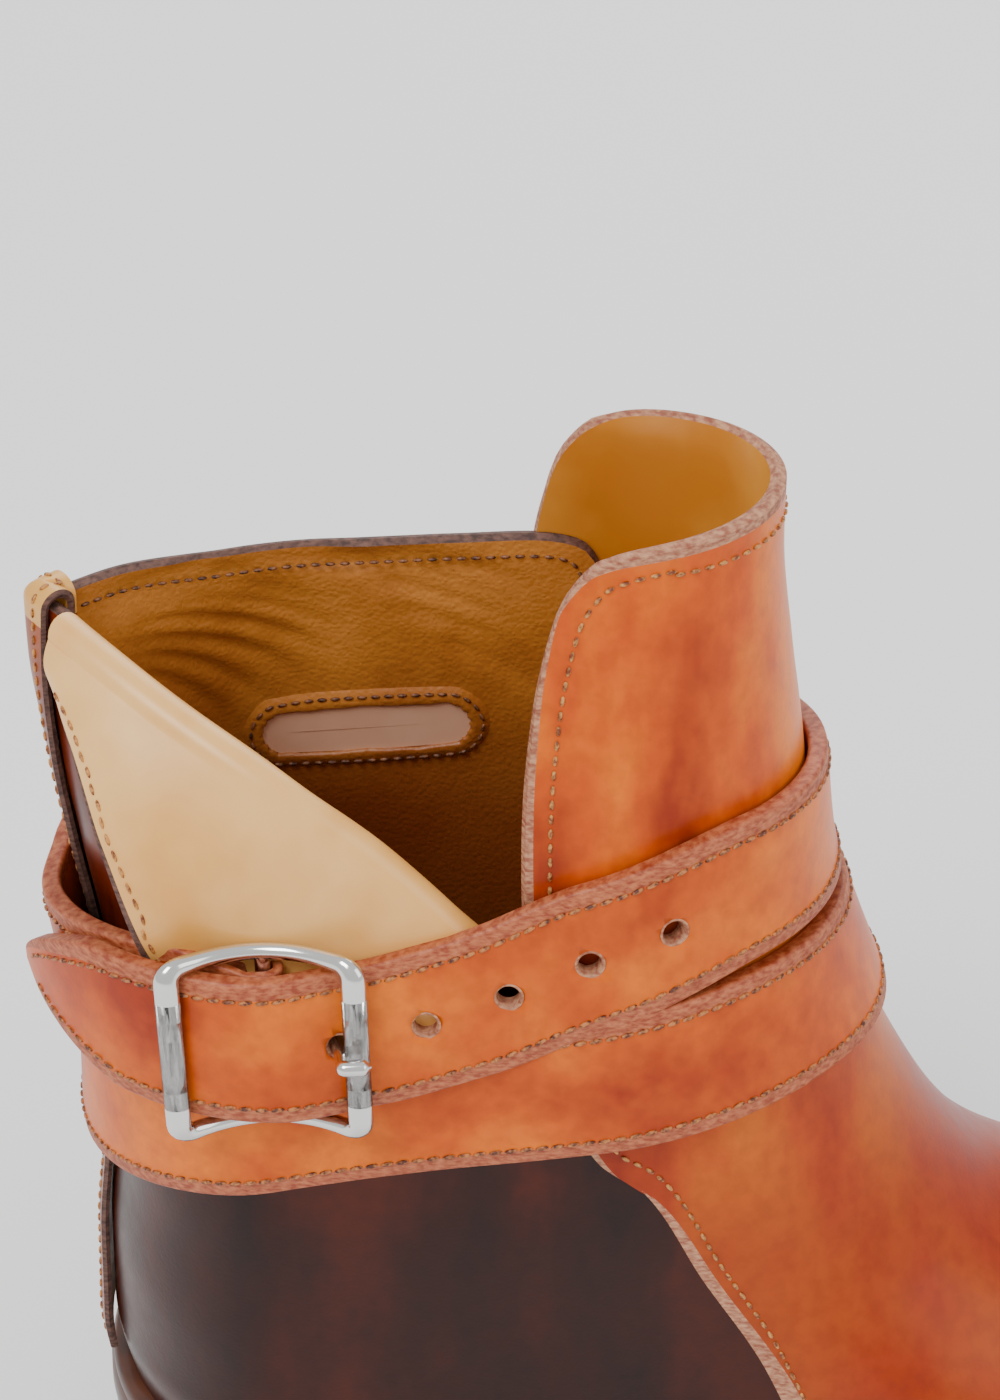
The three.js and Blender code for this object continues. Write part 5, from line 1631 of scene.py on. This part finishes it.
CAMERA_PLACE = (61.65, -364.0, 401.5)
CAMERA_TURN = np.radians(1.0)
CAMERA_DROP = np.radians(36.0)
CAMERA_ROLL = np.radians(3.0)
CAMERA_LIFT = np.arctan2(165.0, 2800.0)


def add_camera():
    """Looks down on the outer side, with the axis raised a little so that the frame's middle
    lies over the buckle."""
    level = np.cos(CAMERA_DROP)
    back = np.array([-np.sin(CAMERA_TURN) * level, -np.cos(CAMERA_TURN) * level, np.sin(CAMERA_DROP)])
    right = np.array([np.cos(CAMERA_TURN), -np.sin(CAMERA_TURN), 0.0])
    up = np.cross(back, right)
    c, s = np.cos(CAMERA_ROLL), np.sin(CAMERA_ROLL)
    right, up = c * right + s * up, -s * right + c * up
    c, s = np.cos(CAMERA_LIFT), np.sin(CAMERA_LIFT)
    back, up = c * back - s * up, c * up + s * back
    data = bpy.data.cameras.new("boot_camera")
    data.lens, data.sensor_width, data.clip_start = 72.0, 36.0, 0.01
    camera = bpy.data.objects.new("boot_camera", data)
    matrix = Matrix((right, up, back)).transposed().to_4x4()
    matrix.translation = Vector(to_frame(CAMERA_PLACE))
    camera.matrix_world = matrix
    bpy.context.scene.collection.objects.link(camera)
    bpy.context.scene.camera = camera


def add_light(name, place, size, power):
    """A square soft light, turned to the boot's middle."""
    data = bpy.data.lights.new(name, "AREA")
    data.shape, data.size, data.energy = "SQUARE", size, power
    lamp = bpy.data.objects.new(name, data)
    lamp.location = place
    lamp.rotation_euler = (Vector((0, 0, 0.1)) - Vector(place)).to_track_quat("-Z", "Y").to_euler()
    bpy.context.scene.collection.objects.link(lamp)


def add_stage():
    """Pale floor, a soft key from the left, a fill from the right and light from the room."""
    mesh = bpy.data.meshes.new("floor")
    reach = 6.0
    corners = [(-reach, -reach, 0), (reach, -reach, 0), (reach, reach, 0), (-reach, reach, 0)]
    mesh.from_pydata(corners, [], [(0, 1, 2, 3)])
    material, _, shader, _ = new_material("matt_studio_paper")
    shader.inputs["Base Color"].default_value = linear("#F6F6F6")
    shader.inputs["Roughness"].default_value = 0.9
    mesh.materials.append(material)
    floor = bpy.data.objects.new("floor", mesh)
    bpy.context.scene.collection.objects.link(floor)
    add_light("key_softbox", (-0.7, -0.8, 1.4), 0.7, 17.0)
    add_light("fill_softbox", (1.1, -0.6, 0.9), 1.0, 6.0)
    add_light("rim_softbox", (0.1, 1.1, 1.0), 1.0, 9.0)
    world = bpy.data.worlds.new("studio_room")
    world.use_nodes = True
    world.node_tree.nodes["Background"].inputs["Color"].default_value = linear("#FFFFFF")
    world.node_tree.nodes["Background"].inputs["Strength"].default_value = 0.9
    bpy.context.scene.world = world
    add_camera()


# Add-on


class BootColours(bpy.types.PropertyGroup):
    """Colours of the leathers."""

    # vamp_deep is also the colour that the painted shade darkens the vamp's foot to.
    vamp_deep: bpy.props.StringProperty(
        name="Vamp shade", description="Burnished red-brown", default="#8A2200"
    )
    vamp_light: bpy.props.StringProperty(
        name="Vamp light", description="Orange of the clouds", default="#E47400"
    )
    strap_deep: bpy.props.StringProperty(
        name="Strap shade", description="Burnished red", default="#9A2C00"
    )
    strap_light: bpy.props.StringProperty(
        name="Strap light", description="Orange of the strap", default="#E06E08"
    )
    lining_deep: bpy.props.StringProperty(
        name="Lining shade", description="Brown of the lining", default="#A86224"
    )
    lining_light: bpy.props.StringProperty(
        name="Lining light", description="Tan of the lining", default="#D89040"
    )
    flap_light: bpy.props.StringProperty(
        name="Flap light", description="Pale tan of the turned flap", default="#F2BC70"
    )


class BOOT_OT_upper(bpy.types.Operator):
    """Builds quarters, vamp, turned flap and label window"""

    bl_idname = "boot.add_upper"
    bl_label = "Add Upper"

    def execute(self, context):
        add_quarters()
        add_vamp()
        add_flap()
        add_window()
        add_collar_stitches()
        return {"FINISHED"}


class BOOT_OT_backstay(bpy.types.Operator):
    """Builds the strip over the back seam"""

    bl_idname = "boot.add_backstay"
    bl_label = "Add Backstay"

    def execute(self, context):
        add_backstay()
        return {"FINISHED"}


class BOOT_OT_strap(bpy.types.Operator):
    """Builds the strap with its holes and stitches"""

    bl_idname = "boot.add_strap"
    bl_label = "Add Strap"

    def execute(self, context):
        add_strap()
        return {"FINISHED"}


class BOOT_OT_buckle(bpy.types.Operator):
    """Builds the buckle's frame, centre bar and prong"""

    bl_idname = "boot.add_buckle"
    bl_label = "Add Buckle"

    def execute(self, context):
        add_buckle()
        return {"FINISHED"}


class BOOT_OT_sole(bpy.types.Operator):
    """Builds outsole, welt, insole and the stacked heel"""

    bl_idname = "boot.add_sole"
    bl_label = "Add Sole"

    def execute(self, context):
        add_sole()
        add_heel()
        return {"FINISHED"}


class BOOT_OT_stage(bpy.types.Operator):
    """Sets floor, lights and camera"""

    bl_idname = "boot.add_stage"
    bl_label = "Add Stage"

    def execute(self, context):
        add_stage()
        return {"FINISHED"}


class BOOT_PT_panel(bpy.types.Panel):
    """Sidebar panel with the boot's colours and steps"""

    bl_idname = "BOOT_PT_panel"
    bl_label = "Boot"
    bl_space_type = "VIEW_3D"
    bl_region_type = "UI"
    bl_category = "Boot"

    def draw(self, context):
        colours = context.scene.boot_colours
        for name in BootColours.__annotations__:
            self.layout.prop(colours, name)
        for operator in OPERATORS:
            self.layout.operator(operator.bl_idname)


OPERATORS = (BOOT_OT_stage, BOOT_OT_upper, BOOT_OT_backstay, BOOT_OT_strap, BOOT_OT_buckle, BOOT_OT_sole)
CLASSES = (BootColours, *OPERATORS, BOOT_PT_panel)


def register():
    for cls in CLASSES:
        bpy.utils.register_class(cls)
    bpy.types.Scene.boot_colours = bpy.props.PointerProperty(type=BootColours)


def unregister():
    del bpy.types.Scene.boot_colours
    for cls in reversed(CLASSES):
        bpy.utils.unregister_class(cls)


def main():
    """Builds the whole boot."""
    register()
    bpy.ops.boot.add_stage()
    bpy.ops.boot.add_upper()
    bpy.ops.boot.add_backstay()
    bpy.ops.boot.add_strap()
    bpy.ops.boot.add_buckle()
    bpy.ops.boot.add_sole()


if __name__ == "__main__":
    main()
